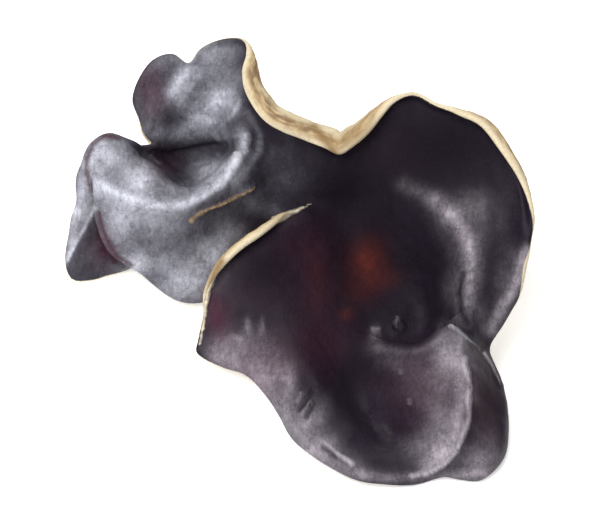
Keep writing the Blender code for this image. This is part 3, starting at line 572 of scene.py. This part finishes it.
def zone_strength(zones, places):
    """How strongly soft ovals cover each place, together."""
    covers = []
    for across, up, reach_across, reach_up, strength, *turn in zones:
        angle = math.radians(*turn or [0])
        x, y = (places - (across, up)).T
        u = (x * math.cos(angle) + y * math.sin(angle)) / reach_across
        v = (y * math.cos(angle) - x * math.sin(angle)) / reach_up
        covers.append(strength * np.exp(-(u * u + v * v)))
    return joined(covers)


def band_strength(bands, places):
    """How strongly soft bands along lines cover each place, together."""
    return joined([strength * bump_profile(side_of(line, places), reach) for reach, strength, *line in bands])


def right_of(line, places, blend):
    """1 on a line's right and 0 on its left, softly between."""
    return ramp(side_of(line, places), blend, -blend)


def unit(vectors):
    """Vectors made one long."""
    return vectors / np.maximum(np.linalg.norm(vectors, axis=1), 1e-9)[:, None]


def plate_kernel(places, pins):
    """How much a pin bends a thin plate at each flat place."""
    squared = ((places[:, None, :] - pins[None, :, :]) ** 2).sum(axis=2)
    return 0.5 * squared * np.log(squared + 1e-12)


def bent_plate(flat, held):
    """The thin plate that bends through pins: a function from flat places to pattern axes."""
    count = len(flat)
    system = np.zeros((count + 3, count + 3))
    system[:count, :count] = plate_kernel(flat, flat) + PLATE_SOFTNESS * np.eye(count)
    system[:count, count] = 1.0
    system[:count, count + 1:] = flat
    system[count:, :count] = system[:count, count:].T
    target = np.zeros((count + 3, 3))
    target[:count] = held
    pull, level, slope = np.split(np.linalg.solve(system, target), (count, count + 1))
    return lambda places: plate_kernel(places, flat) @ pull + level + places @ slope


def pins_of(names):
    """The flat and the bent places of every station and fold of the named parts."""
    chosen = [row[:3] + (row + (0,))[5:6] for name, *rows in MARGIN if name in names for row in rows]
    chosen += [(row + (0,))[:4] for name, *rows in FOLDS if name in names for row in rows]
    held = tilted([seen(*row[:3]) for row in chosen], PATTERN_TILT)
    flat = held[:, :2].copy()
    flat[:, 0] += [row[3] for row in chosen]
    return flat, held


def bent_body():
    """The function from flat places to body points."""
    front = bent_plate(*pins_of(("front", "neck")))
    left = bent_plate(*pins_of(("left", "neck", "fold")))
    flap = bent_plate(*pins_of(("flap", "fold")))

    def bend(places):
        width = np.interp(places[:, 0], NECK_BLEND_ACROSS, NECK_BLEND_WIDTHS)
        in_front = ramp(side_of(NECK_LINE, places), -width, width)[:, None]
        in_flap = right_of(SLIT_LINE, places, SLIT_BLEND)[:, None]
        beside = in_flap * flap(places) + (1.0 - in_flap) * left(places)
        return tilted(in_front * front(places) + (1.0 - in_front) * beside, -PATTERN_TILT)

    return bend


def run_along(points):
    """How far along their line each of the points lies."""
    return np.concatenate(([0.0], np.cumsum(np.linalg.norm(np.diff(points, axis=0), axis=1))))


def closed_curve(stations, step):
    """A closed smooth curve through the stations, in even steps along its first three columns."""
    stations = np.asarray(stations, float)
    fine = []
    for i in range(len(stations)):
        a, b, c, d = (stations[(i + k) % len(stations)] for k in (-1, 0, 1, 2))
        for t in np.linspace(0.0, 1.0, CURVE_STEPS, endpoint=False):
            bow = 2.0 * b + (c - a) * t + (2.0 * a - 5.0 * b + 4.0 * c - d) * t * t
            fine.append(0.5 * (bow + (3.0 * b - a - 3.0 * c + d) * t ** 3))
    closed = np.array(fine + fine[:1])
    run = run_along(closed[:, :3])
    at = np.linspace(0.0, run[-1], int(round(run[-1] / step)), endpoint=False)
    return np.column_stack([np.interp(at, run, column) for column in closed.T])


def margin_pattern():
    """Flat places round the margin, counter-clockwise, with the curl's length and turn at each."""
    stations = []
    for row in (row for _, *rows in MARGIN for row in rows):
        across, up, height, length, turn, aside = (row + (0,))[:6]
        x, along, out = tilted([seen(across, up, height)], PATTERN_TILT)[0]
        stations.append((x + aside, along, out, length, turn))
    curve = closed_curve(stations, MARGIN_SPACING)
    x, along = curve[:, 0], curve[:, 1]
    if (x * np.roll(along, -1) - np.roll(x, -1) * along).sum() < 0.0:
        curve = curve[::-1]
    return curve[:, :2], curve[:, 3], curve[:, 4]


def inside(outline, places):
    """Which flat places lie inside a closed outline."""
    x, y = places.T
    result = np.zeros(len(places), bool)
    for (x0, y0), (x1, y1) in zip(outline, np.roll(outline, -1, axis=0)):
        if y0 != y1:
            result ^= ((y0 > y) != (y1 > y)) & (x < (x1 - x0) * (y - y0) / (y1 - y0) + x0)
    return result


def thinned(points, spacing, taken):
    """Which points to keep so that none lies closer to another, or to a taken one, than its spacing."""
    cell = float(spacing.max())
    filled = {}
    for point in taken:
        filled.setdefault(tuple(int(c) for c in np.floor(point / cell)), []).append(point)
    kept = []
    keys = np.floor(points / cell).astype(int)
    around = [(a, b, c) for a in (-1, 0, 1) for b in (-1, 0, 1) for c in (-1, 0, 1)]
    rows = zip(keys.tolist(), points.tolist(), (spacing ** 2).tolist())
    for i, ((kx, ky, kz), (x, y, z), limit) in enumerate(rows):
        near = (other for a, b, c in around for other in filled.get((kx + a, ky + b, kz + c), ()))
        if all((px - x) ** 2 + (py - y) ** 2 + (pz - z) ** 2 >= limit for px, py, pz in near):
            filled.setdefault((kx, ky, kz), []).append((x, y, z))
            kept.append(i)
    return kept


def drawn_onto_lines(bend, places):
    """Flat places, with those that nearly lie on a thin line moved onto it, which keeps its edges clean."""
    away = line_distance(THIN_LINES, as_seen(bend(places)))
    close = np.flatnonzero(away < DRAWN_SHARE * LINE_SPACING)
    moved = places[close]
    for _ in range(2):
        away = signed_distance(THIN_LINES, as_seen(bend(moved)))
        slope = np.column_stack([
            (signed_distance(THIN_LINES, as_seen(bend(moved + step))) - away) / SLOPE_STEP
            for step in ((SLOPE_STEP, 0.0), (0.0, SLOPE_STEP))])
        moved = moved - slope * (away / np.maximum((slope ** 2).sum(axis=1), 0.1))[:, None]
    places[close] = moved
    return places


def fill_pattern(bend, outline):
    """Flat places and triangles that fill the outline, finer beside the thin lines."""
    step = LINE_SPACING * GRID_SHARE
    low, high = outline.min(axis=0), outline.max(axis=0)
    rows = []
    for k, along in enumerate(np.arange(low[1], high[1], step * math.sqrt(0.75))):
        across = np.arange(low[0] + (k % 2) * step / 2.0, high[0], step)
        rows.append(np.column_stack((across, np.full(len(across), along))))
    places = np.vstack(rows)
    places = places[inside(outline, places)]
    points = bend(places)
    near = line_distance(THIN_LINES, as_seen(points)) < LINE_REACH
    spacing = np.where(near, LINE_SPACING, MESH_SPACING) * KEPT_SHARE
    places = drawn_onto_lines(bend, places[thinned(points, spacing, bend(outline))])
    count = len(outline)
    flat = [Vector(place) for place in np.vstack((outline, places))]
    edges = [(i, (i + 1) % count) for i in range(count)]
    verts, _, faces, *_ = delaunay_2d_cdt(flat, edges, [list(range(count))], 1, 1e-6)
    return np.array([tuple(vert) for vert in verts]), np.array([tuple(face) for face in faces])


def eased(vectors, rounds):
    """Directions round a closed line, each drawn towards its neighbours."""
    for _ in range(rounds):
        vectors = 0.5 * vectors + 0.25 * (np.roll(vectors, 1, axis=0) + np.roll(vectors, -1, axis=0))
    return unit(vectors)


def curl_directions(bend, outline):
    """The rim's points, and the outward and upper directions there for the curl to turn in."""
    rounds = int(round(2.0 * (CURL_SMOOTHING / MARGIN_SPACING) ** 2))
    rim = bend(outline)
    across = bend(outline + (SLOPE_REACH, 0.0)) - bend(outline - (SLOPE_REACH, 0.0))
    along = bend(outline + (0.0, SLOPE_REACH)) - bend(outline - (0.0, SLOPE_REACH))
    upper = eased(unit(np.cross(across, along)), rounds)
    outward = eased(unit(np.cross(np.roll(rim, -1, axis=0) - np.roll(rim, 1, axis=0), upper)), rounds)
    upper = unit(upper - (upper * outward).sum(axis=1)[:, None] * outward)
    return rim, outward, upper


def vertex_normals(points, faces):
    """The mesh's direction at each point, from the faces round it."""
    corners = points[faces]
    normals = np.cross(corners[:, 1] - corners[:, 0], corners[:, 2] - corners[:, 0])
    total = np.zeros_like(points)
    for k in range(3):
        np.add.at(total, faces[:, k], normals)
    return unit(total)


def eased_over(values, faces, rounds):
    """Values on a mesh, each drawn towards the mean of its neighbours."""
    ends = np.vstack((faces[:, (0, 1)], faces[:, (1, 2)], faces[:, (2, 0)]))
    ends = np.vstack((ends, ends[:, ::-1]))
    count = np.bincount(ends[:, 0], minlength=len(values))[:, None]
    for _ in range(rounds):
        total = np.zeros_like(values)
        np.add.at(total, ends[:, 0], values[ends[:, 1]])
        values = 0.5 * values + 0.5 * total / np.maximum(count, 1)
    return values


def strip(inner, outer):
    """Quads between two closed rows of points."""
    return np.column_stack((inner, outer, np.roll(outer, -1), np.roll(inner, -1)))


class Sheet:
    """The middle surface with its curled margin, and what is known at each of its points."""

    def __init__(self):
        bend = bent_body()
        outline, lengths, turns = margin_pattern()
        places, faces = fill_pattern(bend, outline)
        points = bend(places)
        count = len(outline)
        rim, outward, upper = curl_directions(bend, outline)
        lengths = np.maximum(lengths - EDGE_THICKNESS / 2.0, LEAST_ROLL)
        turn = np.radians(np.where(np.abs(turns) < LEAST_CURL, LEAST_CURL, turns))
        radius = (lengths / turn)[:, None]
        run = run_along(rim)
        finder = KDTree(count)
        for i, place in enumerate(outline):
            finder.insert((place[0], place[1], 0.0), i)
        finder.balance()
        nearest = [finder.find((x, y, 0.0))[1:] for x, y in places]
        edge = np.array([lengths[i] + distance for i, distance in nearest])
        station = np.array([run[i] for i, _ in nearest])
        quads = []
        inner = np.arange(count)
        for k in range(1, CURL_ROWS + 1):
            part = k / CURL_ROWS
            angle = (turn * part)[:, None]
            row = rim + radius * (outward * np.sin(angle) + upper * (1.0 - np.cos(angle)))
            outer = np.arange(len(points), len(points) + count)
            quads.append(strip(inner, outer))
            points = np.vstack((points, row))
            edge = np.concatenate((edge, lengths * (1.0 - part)))
            station = np.concatenate((station, run))
            inner = outer
        quads = np.vstack(quads)
        self.faces = np.vstack((faces, quads[:, (0, 1, 2)], quads[:, (0, 2, 3)]))
        self.points, self.edge, self.station, self.ring = points, edge, station, inner
        end = turn[:, None]
        self.ring_outward = outward * np.cos(end) + upper * np.sin(end)
        self.ring_upper = upper * np.cos(end) - outward * np.sin(end)
        self.normals = unit(eased_over(vertex_normals(points, self.faces), self.faces, NORMAL_ROUNDS))
        self.normals[self.ring] = self.ring_upper
        self.flat = np.vstack((places, np.tile(outline, (CURL_ROWS, 1))))


def cloud(points, size):
    """Soft noise between about -1 and 1 whose lumps are size across."""
    return np.array([noise.fractal(Vector(p), *CLOUD_LAYERS) for p in points / size])


def ridges(points, size):
    """Wrinkle noise between about 0 and 1, with narrow crests size apart."""
    return 1.0 - np.abs(np.array([noise.noise(Vector(p)) for p in points / size])) * RIDGE_NARROWNESS


def sheet_relief(sheet, places):
    """How far the whole sheet bulges along its normal: cockling, and the lip and crease of the socket."""
    lift = COCKLE_HEIGHT * cloud(sheet.points, COCKLE_SIZE) * ramp(sheet.edge, 0.0, COCKLE_FADE)
    for lines, height, reach in SHEET_FORMS:
        lift += height * bump_profile(line_distance(lines, places), reach)
    return lift


def skin_relief(sheet, places):
    """How far the dark skin stands off the sheet's upper side."""
    left = right_of(NECK_LINE, sheet.flat, LEFT_EAR_BLEND)
    size, height, more = LUMPS
    lift = (height + more * left) * cloud(sheet.points, size)
    size, height, more = WRINKLES
    lift += (height + more * left) * (ridges(sheet.points + WRINKLE_SHIFT, size) - 0.5)
    for lines, height, reach in SKIN_FORMS:
        lift += height * bump_profile(line_distance(lines, places), reach)
    crack = side_of(CRACK_LINE, places)
    rise = CRACK_RISE * bump_profile(crack, CRACK_REACH)
    sink = -CRACK_SINK * bump_profile(crack + CRACK_REACH, CRACK_REACH)
    lift += bump_profile(crack, CRACK_END_REACH) * np.where(crack > 0.0, rise, sink)
    for line, reach, _, step in SHADED_EDGES:
        lift -= step * left_of(line, places, 0.5 * reach, 0.4 * reach)
    for radius, height, reach in PIT_FORMS:
        lift += height * bump_profile(away_from(PIT_PLACE, places) - radius, reach)
    return lift


def bloom_sheen_and_shade_mask(places, spots, whose, flat):
    """How thick the grey bloom with its painted sheen lies on each point, less the painted shade."""
    bloom_and_sheen = joined((zone_strength(BLOOM_AND_SHEEN, spots), band_strength(BLOOM_AND_SHEEN_BANDS, spots)))
    # painted shade in hollows and creases takes the bloom away
    bloom_and_sheen *= 1.0 - joined((zone_strength(SHADE, spots), band_strength(SHADE_BANDS, spots)))
    # painted shade on the left of the crisp edges
    for line, reach, strength, _ in SHADED_EDGES:
        bloom_and_sheen *= 1.0 - strength * left_of(line, places, reach, 0.8 * reach)[whose]
    # painted shade in the flap's hollow
    in_flap = right_of(SLIT_LINE, flat, SLIT_BLEND)
    bloom_and_sheen *= 1.0 - FLAP_SHADE * in_flap * left_of(FLAP_EDGE, places, FLAP_REACH, FLAP_FADE)[whose]
    hazed = right_of(NECK_LINE, flat, LEFT_EAR_BLEND) * ramp(spots[:, 0], HAZE_FROM, HAZE_FROM - HAZE_FADE)
    return (1.0 - (1.0 - bloom_and_sheen) * (1.0 - LEFT_HAZE * hazed)) ** 2


def felt_mask(felt, spots):
    """Where the felt shows, less the stain of the red folds and thinned out towards the margin's tail."""
    felt = felt * (1.0 - bump_profile(line_distance(RED_LINES, spots), FOLD_STAIN))
    start = MARGIN_TAIL[0]
    run = away_from(start, spots)
    room = TAIL_HALF_WIDTH - TAIL_TAPER * run - line_distance([MARGIN_TAIL], spots)
    by_tail = ramp(spots[:, 0], start[0], start[0] + TAIL_ONSET) * ramp(run, 2.0 * TAIL_REACH, TAIL_REACH)
    return felt * (1.0 - by_tail * ramp(room, TAIL_SOFTNESS, -TAIL_SOFTNESS))


def painted_masks(sheet, places, spots, whose, felt, cut):
    """Every mask that the material reads, by name."""
    flat = sheet.flat[whose]
    edge = sheet.edge[whose]
    in_left = right_of(NECK_LINE, flat, LEFT_EAR_BLEND)
    upward = -sheet.normals[whose] @ CROWN_LIGHT_DIRECTION
    # painted shade along the seams where the rims lap and turn under
    seam_shade_lines = SEAM_STRENGTH * bump_profile(line_distance([RIM_SEAM, RIM_SPLIT], spots), SEAM_HALF_WIDTH)
    # painted highlights along the crests, the lips and the socket's ridge
    crest_highlight = [tapered(line, places, taper) for line, taper in CREST_HIGHLIGHT_TAPERS]
    lip_and_ridge_highlight = [tapered(line, places, LIP_TAPER) for line in (LIP_LINE, RIDGE_LINE)]
    tail = tapered(MARGIN_TAIL, spots, MARGIN_TAIL_TAPER) - MARGIN_TAIL_EXTRA
    left_side = tapered(MARGIN_LEFT, spots, MARGIN_LEFT_TAPER) + in_left
    return {
        "felt": felt_mask(felt, spots),
        "cut": cut,
        "edge": edge,
        "station": sheet.station[whose],
        "cream": CREAM_STRENGTH * bump_profile(edge, CREAM_REACH),
        # painted highlight on the top of the rolled felt, where it faces the light
        "lit_crown": ramp(upward, *CROWN_FACING) * ramp(edge, *CROWN_FROM) * ramp(edge, *CROWN_TO),
        # painted seam shade, with the ovals of browner felt
        "seam_shade_and_browning": joined((seam_shade_lines, zone_strength(BROWNER_FELT_OVALS, spots))),
        # painted shade in the rolled felt's trough
        "trough_shade": bump_profile(edge - TROUGH_PLACE, TROUGH_REACH) * (TROUGH_STRENGTH + TROUGH_MORE * in_left),
        "underside": ramp(edge, *UNDERSIDE_FROM),
        "left_ear": in_left,
        # grey bloom with painted sheen, less painted shade
        "bloom_and_sheen": bloom_sheen_and_shade_mask(places, spots, whose, flat),
        # painted shade, where the skin is blackest and has no shine
        "dull": zone_strength(DULL_SHADE, spots),
        "ember": zone_strength(EMBER, spots),
        "maroon": zone_strength(MAROON, spots),
        # painted highlights along the crests, the lips and the socket's ridge
        "crest_highlight": np.min(crest_highlight, axis=0)[whose],
        "lip_and_ridge_highlight": np.min(lip_and_ridge_highlight, axis=0)[whose],
        # pale scuffs of bloom, painted highlights and painted glints
        "streak_and_glint": line_distance(STREAKS_AND_HIGHLIGHTS + GLINTS, places)[whose],
        # painted shade in the furrows
        "furrow_shade": line_distance(STROKES, places)[whose],
        "red": line_distance(RED_LINES, places)[whose],
        "crack": line_distance((CRACK_LINE,) + CRACK_ENDS, places)[whose],
        "margin": np.minimum(tail, left_side),
    }


def build_body():
    """The fruit body as one closed mesh, skin above and felt below, and the names of the masks on it."""
    sheet = Sheet()
    places = as_seen(sheet.points)
    count = len(sheet.points)
    half = 0.5 * (EDGE_THICKNESS + (SHEET_THICKNESS - EDGE_THICKNESS) * ramp(sheet.edge, 0.0, EDGE_TAPER))
    middle = sheet.points + sheet.normals * sheet_relief(sheet, places)[:, None]
    fade = ramp(sheet.edge, *RELIEF_FROM)
    upper = middle + sheet.normals * (half + skin_relief(sheet, places) * fade)[:, None]
    felt_lift = FELT_LUMPS * cloud(sheet.points + FELT_SHIFT, FELT_LUMP_SIZE) * fade
    left = right_of(NECK_LINE, sheet.flat, LEFT_EAR_BLEND)
    felt_lift -= GROOVE_DEPTH * left * bump_profile(sheet.edge - GROOVE_PLACE, GROOVE_REACH)
    under = middle - sheet.normals * (half + felt_lift)[:, None]

    # the rounded edge, and the skin drawn over it where the felt is out of sight
    ring = sheet.ring
    rim_rows = []
    for k in range(1, RIM_ROWS + 1):
        angle = math.pi * k / (RIM_ROWS + 1)
        turned = sheet.ring_outward * math.sin(angle) + sheet.ring_upper * math.cos(angle)
        rim_rows.append(middle[ring] + half[ring][:, None] * turned)
    points = np.vstack([upper, under] + rim_rows)
    ring_spots = as_seen(middle[ring])
    low = ramp(ring_spots[:, 1], LOW_TUCK_FROM, LOW_TUCK_FROM - LOW_TUCK_FADE)
    tucked = np.maximum(low, SLIT_TUCK * bump_profile(away_from(SLIT_END, ring_spots), SLIT_TUCK_REACH))
    start = RIM_FELT_START + RIM_FELT_TUCK * tucked
    felt = np.concatenate((np.zeros(count), np.ones(count)) + tuple(
        ramp(k / RIM_ROWS * RIM_FELT_RISE - start, 0.0, 1.0) for k in range(1, RIM_ROWS + 1)))
    whose = np.concatenate((np.arange(count), np.arange(count)) + (ring,) * RIM_ROWS)

    triangles = np.vstack((sheet.faces, sheet.faces[:, ::-1] + count))
    rows = [2 * count + k * len(ring) + np.arange(len(ring)) for k in range(RIM_ROWS)]
    rows = [ring] + rows + [ring + count]
    quads = np.vstack([strip(inner, outer) for inner, outer in zip(rows[:-1], rows[1:])])

    # the stub is the underside drawn down to the floor, and its cut is the flat disc there
    away = away_from(STUB_PLACE, points[:, :2])
    down = np.zeros(len(points), bool)
    down[count:2 * count] = sheet.normals[:, 2] > 0.0
    drawn = ramp(away, STUB_FLARE_RADIUS, STUB_CUT_RADIUS)
    points[:, 2] *= np.where(down, 1.0 - drawn, 1.0)
    points[:, 2] = np.maximum(points[:, 2], 0.0)
    cut = np.where(down, ramp(away, *STUB_CUT_EDGE), 0.0)

    masks = painted_masks(sheet, places, as_seen(points), whose, felt, cut)
    points = (points - (*BODY_CENTRE, 0.0)) * MM
    body = add_object("fruit_body_skin", points.tolist(), triangles.tolist() + quads.tolist())
    body.data.shade_smooth()
    for name, values in masks.items():
        attribute = body.data.attributes.new(name, "FLOAT", "POINT")
        attribute.data.foreach_set("value", np.asarray(values, np.float32))
    return body, list(masks)


def add_object(name, points, faces):
    """A mesh object at the origin, in metres."""
    mesh = bpy.data.meshes.new(name)
    mesh.from_pydata(points, [], faces)
    mesh.validate()
    made = bpy.data.objects.new(name, mesh)
    bpy.context.scene.collection.objects.link(made)
    return made


def linear(hex_colour):
    """The linear colour of an sRGB hex colour."""
    channels = [int(hex_colour[i:i + 2], 16) / 255.0 for i in (0, 2, 4)]
    return tuple(c / 12.92 if c <= 0.04045 else ((c + 0.055) / 1.055) ** 2.4 for c in channels) + (1.0,)


def add_node(tree, kind, inputs=(), output=0, **settings):
    """Adds a node with its settings and links, and gives one of its outputs.

    Its inputs are named or in order, and each is given a socket, a value or an sRGB hex colour.
    """
    node = tree.nodes.new(kind)
    for name, value in settings.items():
        setattr(node, name, value)
    for name, value in inputs.items() if isinstance(inputs, dict) else enumerate(inputs):
        if isinstance(value, bpy.types.NodeSocket):
            tree.links.new(value, node.inputs[name])
        else:
            node.inputs[name].default_value = linear(value) if isinstance(value, str) else value
    return node.outputs[output] if node.outputs else None


def new_material(name):
    """An empty node material, and what adds nodes to it."""
    material = bpy.data.materials.new(name)
    material.use_nodes = True
    material.node_tree.nodes.clear()
    return material, functools.partial(add_node, material.node_tree)


def coated(add, colour, coats):
    """A colour with others laid over it in turn, each as thick as its factor says."""
    for factor, coat in coats:
        colour = add(MIX, {0: factor, MIX_UNDER: colour, MIX_OVER: coat}, MIX_RESULT, data_type="RGBA")
    return colour


def dried_skin_and_felt(mask_names):
    """Dried wood ear, air-dried and stiff.

    Its skin is almost black and waxy, with a dull gloss where it is bare and a patchy grey bloom that hides
    the gloss; painted sheen lies with the bloom on raised folds, and painted shade darkens hollows and
    creases.
    Its felt is short, tan and quite dull, with a pale line at the margin's edge, a painted highlight where
    the roll faces up, and painted shade in its trough and along its seams.
    """
    material, add = new_material("dried_wood_ear_skin_and_felt")
    mask = {name: add("ShaderNodeAttribute", (), ATTRIBUTE_VALUE, attribute_name=name) for name in mask_names}
    where = add("ShaderNodeTexCoord", output="Object")
    turned = add("ShaderNodeMapping", {
        "Vector": where, "Rotation": (0.0, 0.0, math.radians(SCUFF_TURN)), "Scale": SCUFF_STRETCH})
    pattern = {}
    for name, (per_mm, detail, roughness) in PATTERNS.items():
        at = turned if name == "scuffs" else where
        settings = {"Vector": at, "Scale": per_mm / MM, "Detail": detail, "Roughness": roughness}
        pattern[name] = add(NOISE, settings)
    pores, speckle, patches = pattern["pores"], pattern["speckle"], pattern["patches"]
    mottle = add(MIX, {0: 0.4, 2: speckle, 3: pattern["scuffs"]})

    # bloom and its painted sheen are broken up where the powder has rubbed off, with worn veins in it
    contrast = add(MATH, (mask["left_ear"], -0.4, 2.0), operation="MULTIPLY_ADD")
    uneven = add(MATH, (mottle, 0.5), operation="SUBTRACT")
    uneven = add(MATH, (uneven, contrast, 1.0), operation="MULTIPLY_ADD")
    veins = add(MATH, (pattern["veins"], 0.5), operation="SUBTRACT")
    veins = add(MATH, (veins,), operation="ABSOLUTE")
    veins = add(RANGE, (veins, 0.0, 0.03, 0.72, 1.0))
    patchy = add(RANGE, (patches, 0.3, 0.7, 0.80, 1.20))
    bloom_and_sheen = mask["bloom_and_sheen"]
    for share in (uneven, veins, patchy):
        bloom_and_sheen = add(MATH, (bloom_and_sheen, share), operation="MULTIPLY", use_clamp=share is patchy)

    # specks of dust lie in the pores, hardly any of them on bare skin
    dust = add(RANGE, (pores, 0.60, 0.70, 0.0, 1.0))
    dusty = add(RANGE, (mask["bloom_and_sheen"], 0.0, 0.3, 0.01, 0.17))
    dust = add(MATH, (dust, dusty), operation="MULTIPLY")
    powder_and_sheen = coated(add, "cac0ca", [(mask["left_ear"], "d3d5e1"), (mask["maroon"], "ae8298")])

    # thin lines, among them painted highlights, glints and furrow shade, made ragged by the speckle and worn
    # away in places
    lines = []
    wander = add(RANGE, (speckle, 0.3, 0.7, -0.12, 0.16))
    for name, width, strength, paint, wear in SKIN_LINES:
        away = add(MATH, (mask[name], wander))
        near = add(RANGE, (away, 0.15 * width, width, strength, 0.0))
        worn = add(RANGE, (mottle, 0.40, 0.56, 1.0 - wear, 1.0))
        lines.append((add(MATH, (near, worn), operation="MULTIPLY"), paint))

    # skin: near black with a wine tint, painted blacker as shade where it is dull, and orange-red where the
    # sheet is thin enough to let light through, under the bloom with its painted sheen and the thin lines
    broad = add(RANGE, (patches, 0.35, 0.65, 0.0, 1.0))
    glow = add(RANGE, (mottle, 0.3, 0.65, 0.55, 1.0))
    ember = add(MATH, (mask["ember"], glow), operation="MULTIPLY")
    skin = coated(add, "18111b", [
        (broad, "1c1521"),
        (mask["maroon"], "3b1b29"),
        # painted shade: the dull skin is painted blacker
        (mask["dull"], "100a13"),
        (ember, "602519"),
        # grey bloom with its painted sheen
        (bloom_and_sheen, powder_and_sheen),
        (dust, powder_and_sheen),
    ] + lines)
    speck = add(RANGE, (pores, 0.3, 0.7, 0.90, 1.10))
    skin = add("ShaderNodeVectorMath", {0: skin, "Scale": speck}, operation="SCALE")

    # felt: tan strands round the rim, pale at its edge, a painted highlight on its crown, painted shade in
    # its trough and along its seams, plain velvet underneath
    along = add(MATH, (mask["station"], STRAND_STRETCH), operation="MULTIPLY")
    along = add("ShaderNodeCombineXYZ", (along, mask["edge"]))
    strand = add(NOISE, {"Vector": along, "Scale": STRANDS_PER_MM, "Detail": 4.0, "Roughness": 0.6})
    strand_gap = add(RANGE, (strand, 0.42, 0.60, 1.0, 0.35))
    velvet = coated(add, "a8987b", [
        (broad, "c4b697"),
        (add(RANGE, (speckle, 0.45, 0.70, 0.0, 0.4)), "8b7858"),
    ])
    felt = coated(add, "8a7350", [
        (add(RANGE, (strand, 0.40, 0.60, 0.0, 1.0)), "c0a983"),
        # painted shade in the rolled felt's trough
        (add(MATH, (mask["trough_shade"], strand_gap), operation="MULTIPLY"), "6b5440"),
        (mask["underside"], velvet),
        # painted highlight on the top of the roll, where it faces the light
        (mask["lit_crown"], "c2b79b"),
        (mask["cream"], "cbc0a6"),
        (add(RANGE, (pores, 0.4, 0.7, 0.0, 0.3)), "8f7a5c"),
        # painted shade along the seams, and ovals of browner felt
        (mask["seam_shade_and_browning"], "78603f"),
        (mask["cut"], "c2a878"),
    ])
    ragged = add(MATH, (pores, 0.5, mask["felt"]), operation="MULTIPLY_ADD")
    side = add(RANGE, (ragged, 0.6, 0.85, 0.0, 1.0))

    # bare skin has a dull wax gloss, bloom hides it, and the dullest skin and the felt have none
    roughness = add(RANGE, (bloom_and_sheen, 0.0, 0.6, 0.42, 0.60))
    for dull in (mask["dull"], side):
        roughness = add(MIX, {0: dull, 2: roughness, 3: 0.95})
    grain = add(MATH, (mottle, 1.4, pores), operation="MULTIPLY_ADD")
    bump = add("ShaderNodeBump", {"Height": grain, "Strength": 0.4, "Distance": GRAIN_DEPTH * MM})
    shader = add("ShaderNodeBsdfPrincipled", {
        "Base Color": coated(add, skin, [(side, felt)]),
        "Roughness": roughness,
        "Normal": bump,
        "Metallic": 0.0,
        "Specular IOR Level": 0.1,
    })
    add("ShaderNodeOutputMaterial", {"Surface": shader})
    return material


def pale_floor():
    """A plain sheet of studio paper, which glows softly so that it looks as white as the photo's."""
    material, add = new_material("studio_paper")
    shader = add("ShaderNodeBsdfPrincipled", {
        "Base Color": "f8f8f8",
        "Roughness": 0.95,
        "Specular IOR Level": 0.0,
        "Emission Color": "ffffff",
        "Emission Strength": 0.4,
    })
    add("ShaderNodeOutputMaterial", {"Surface": shader})
    corners = [(x * FLOOR_REACH, y * FLOOR_REACH, 0.0) for x, y in ((-1, -1), (1, -1), (1, 1), (-1, 1))]
    floor = add_object("floor", corners, [(0, 1, 2, 3)])
    floor.data.materials.append(material)
    return floor


def look_back(thing, azimuth, elevation, aim, distance):
    """Puts a lamp or camera this far from its aim, facing it."""
    a, e = math.radians(azimuth), math.radians(elevation)
    back = Vector((math.sin(a) * math.cos(e), -math.cos(a) * math.cos(e), math.sin(e)))
    thing.location = aim + back * distance
    thing.rotation_mode = "QUATERNION"
    thing.rotation_quaternion = back.to_track_quat("Z", "Y")
    bpy.context.scene.collection.objects.link(thing)


def studio():
    """Soft light from the upper left, a pale surround, and the camera at the photo's angle."""
    for name, (azimuth, elevation, width, watts, colour) in LAMPS.items():
        lamp = bpy.data.lights.new(name, "AREA")
        lamp.size = width
        lamp.energy = watts
        lamp.color = colour
        look_back(bpy.data.objects.new(name, lamp), azimuth, elevation, Vector(), LAMP_DISTANCE)
    world = bpy.data.worlds.new("studio")
    world.use_nodes = True
    surround = world.node_tree.nodes["Background"]
    surround.inputs[0].default_value = SURROUND_COLOUR
    surround.inputs[1].default_value = SURROUND_STRENGTH
    bpy.context.scene.world = world
    bpy.context.scene.view_settings.view_transform = "Standard"

    lens = bpy.data.cameras.new("camera")
    lens.lens = LENS
    lens.sensor_width = SENSOR
    lens.clip_start = 0.01
    lens.clip_end = 20.0
    camera = bpy.data.objects.new("camera", lens)
    aim = Vector(seen(*CAMERA_AIM)) - Vector((*BODY_CENTRE, 0.0))
    look_back(camera, 0.0, VIEW_ELEVATION, aim * MM, VIEW_WIDTH * LENS / SENSOR * MM)
    bpy.context.scene.camera = camera


body, mask_names = build_body()
body.data.materials.append(dried_skin_and_felt(mask_names))
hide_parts("fruit_body")
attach(body, "root")
pale_floor()
studio()
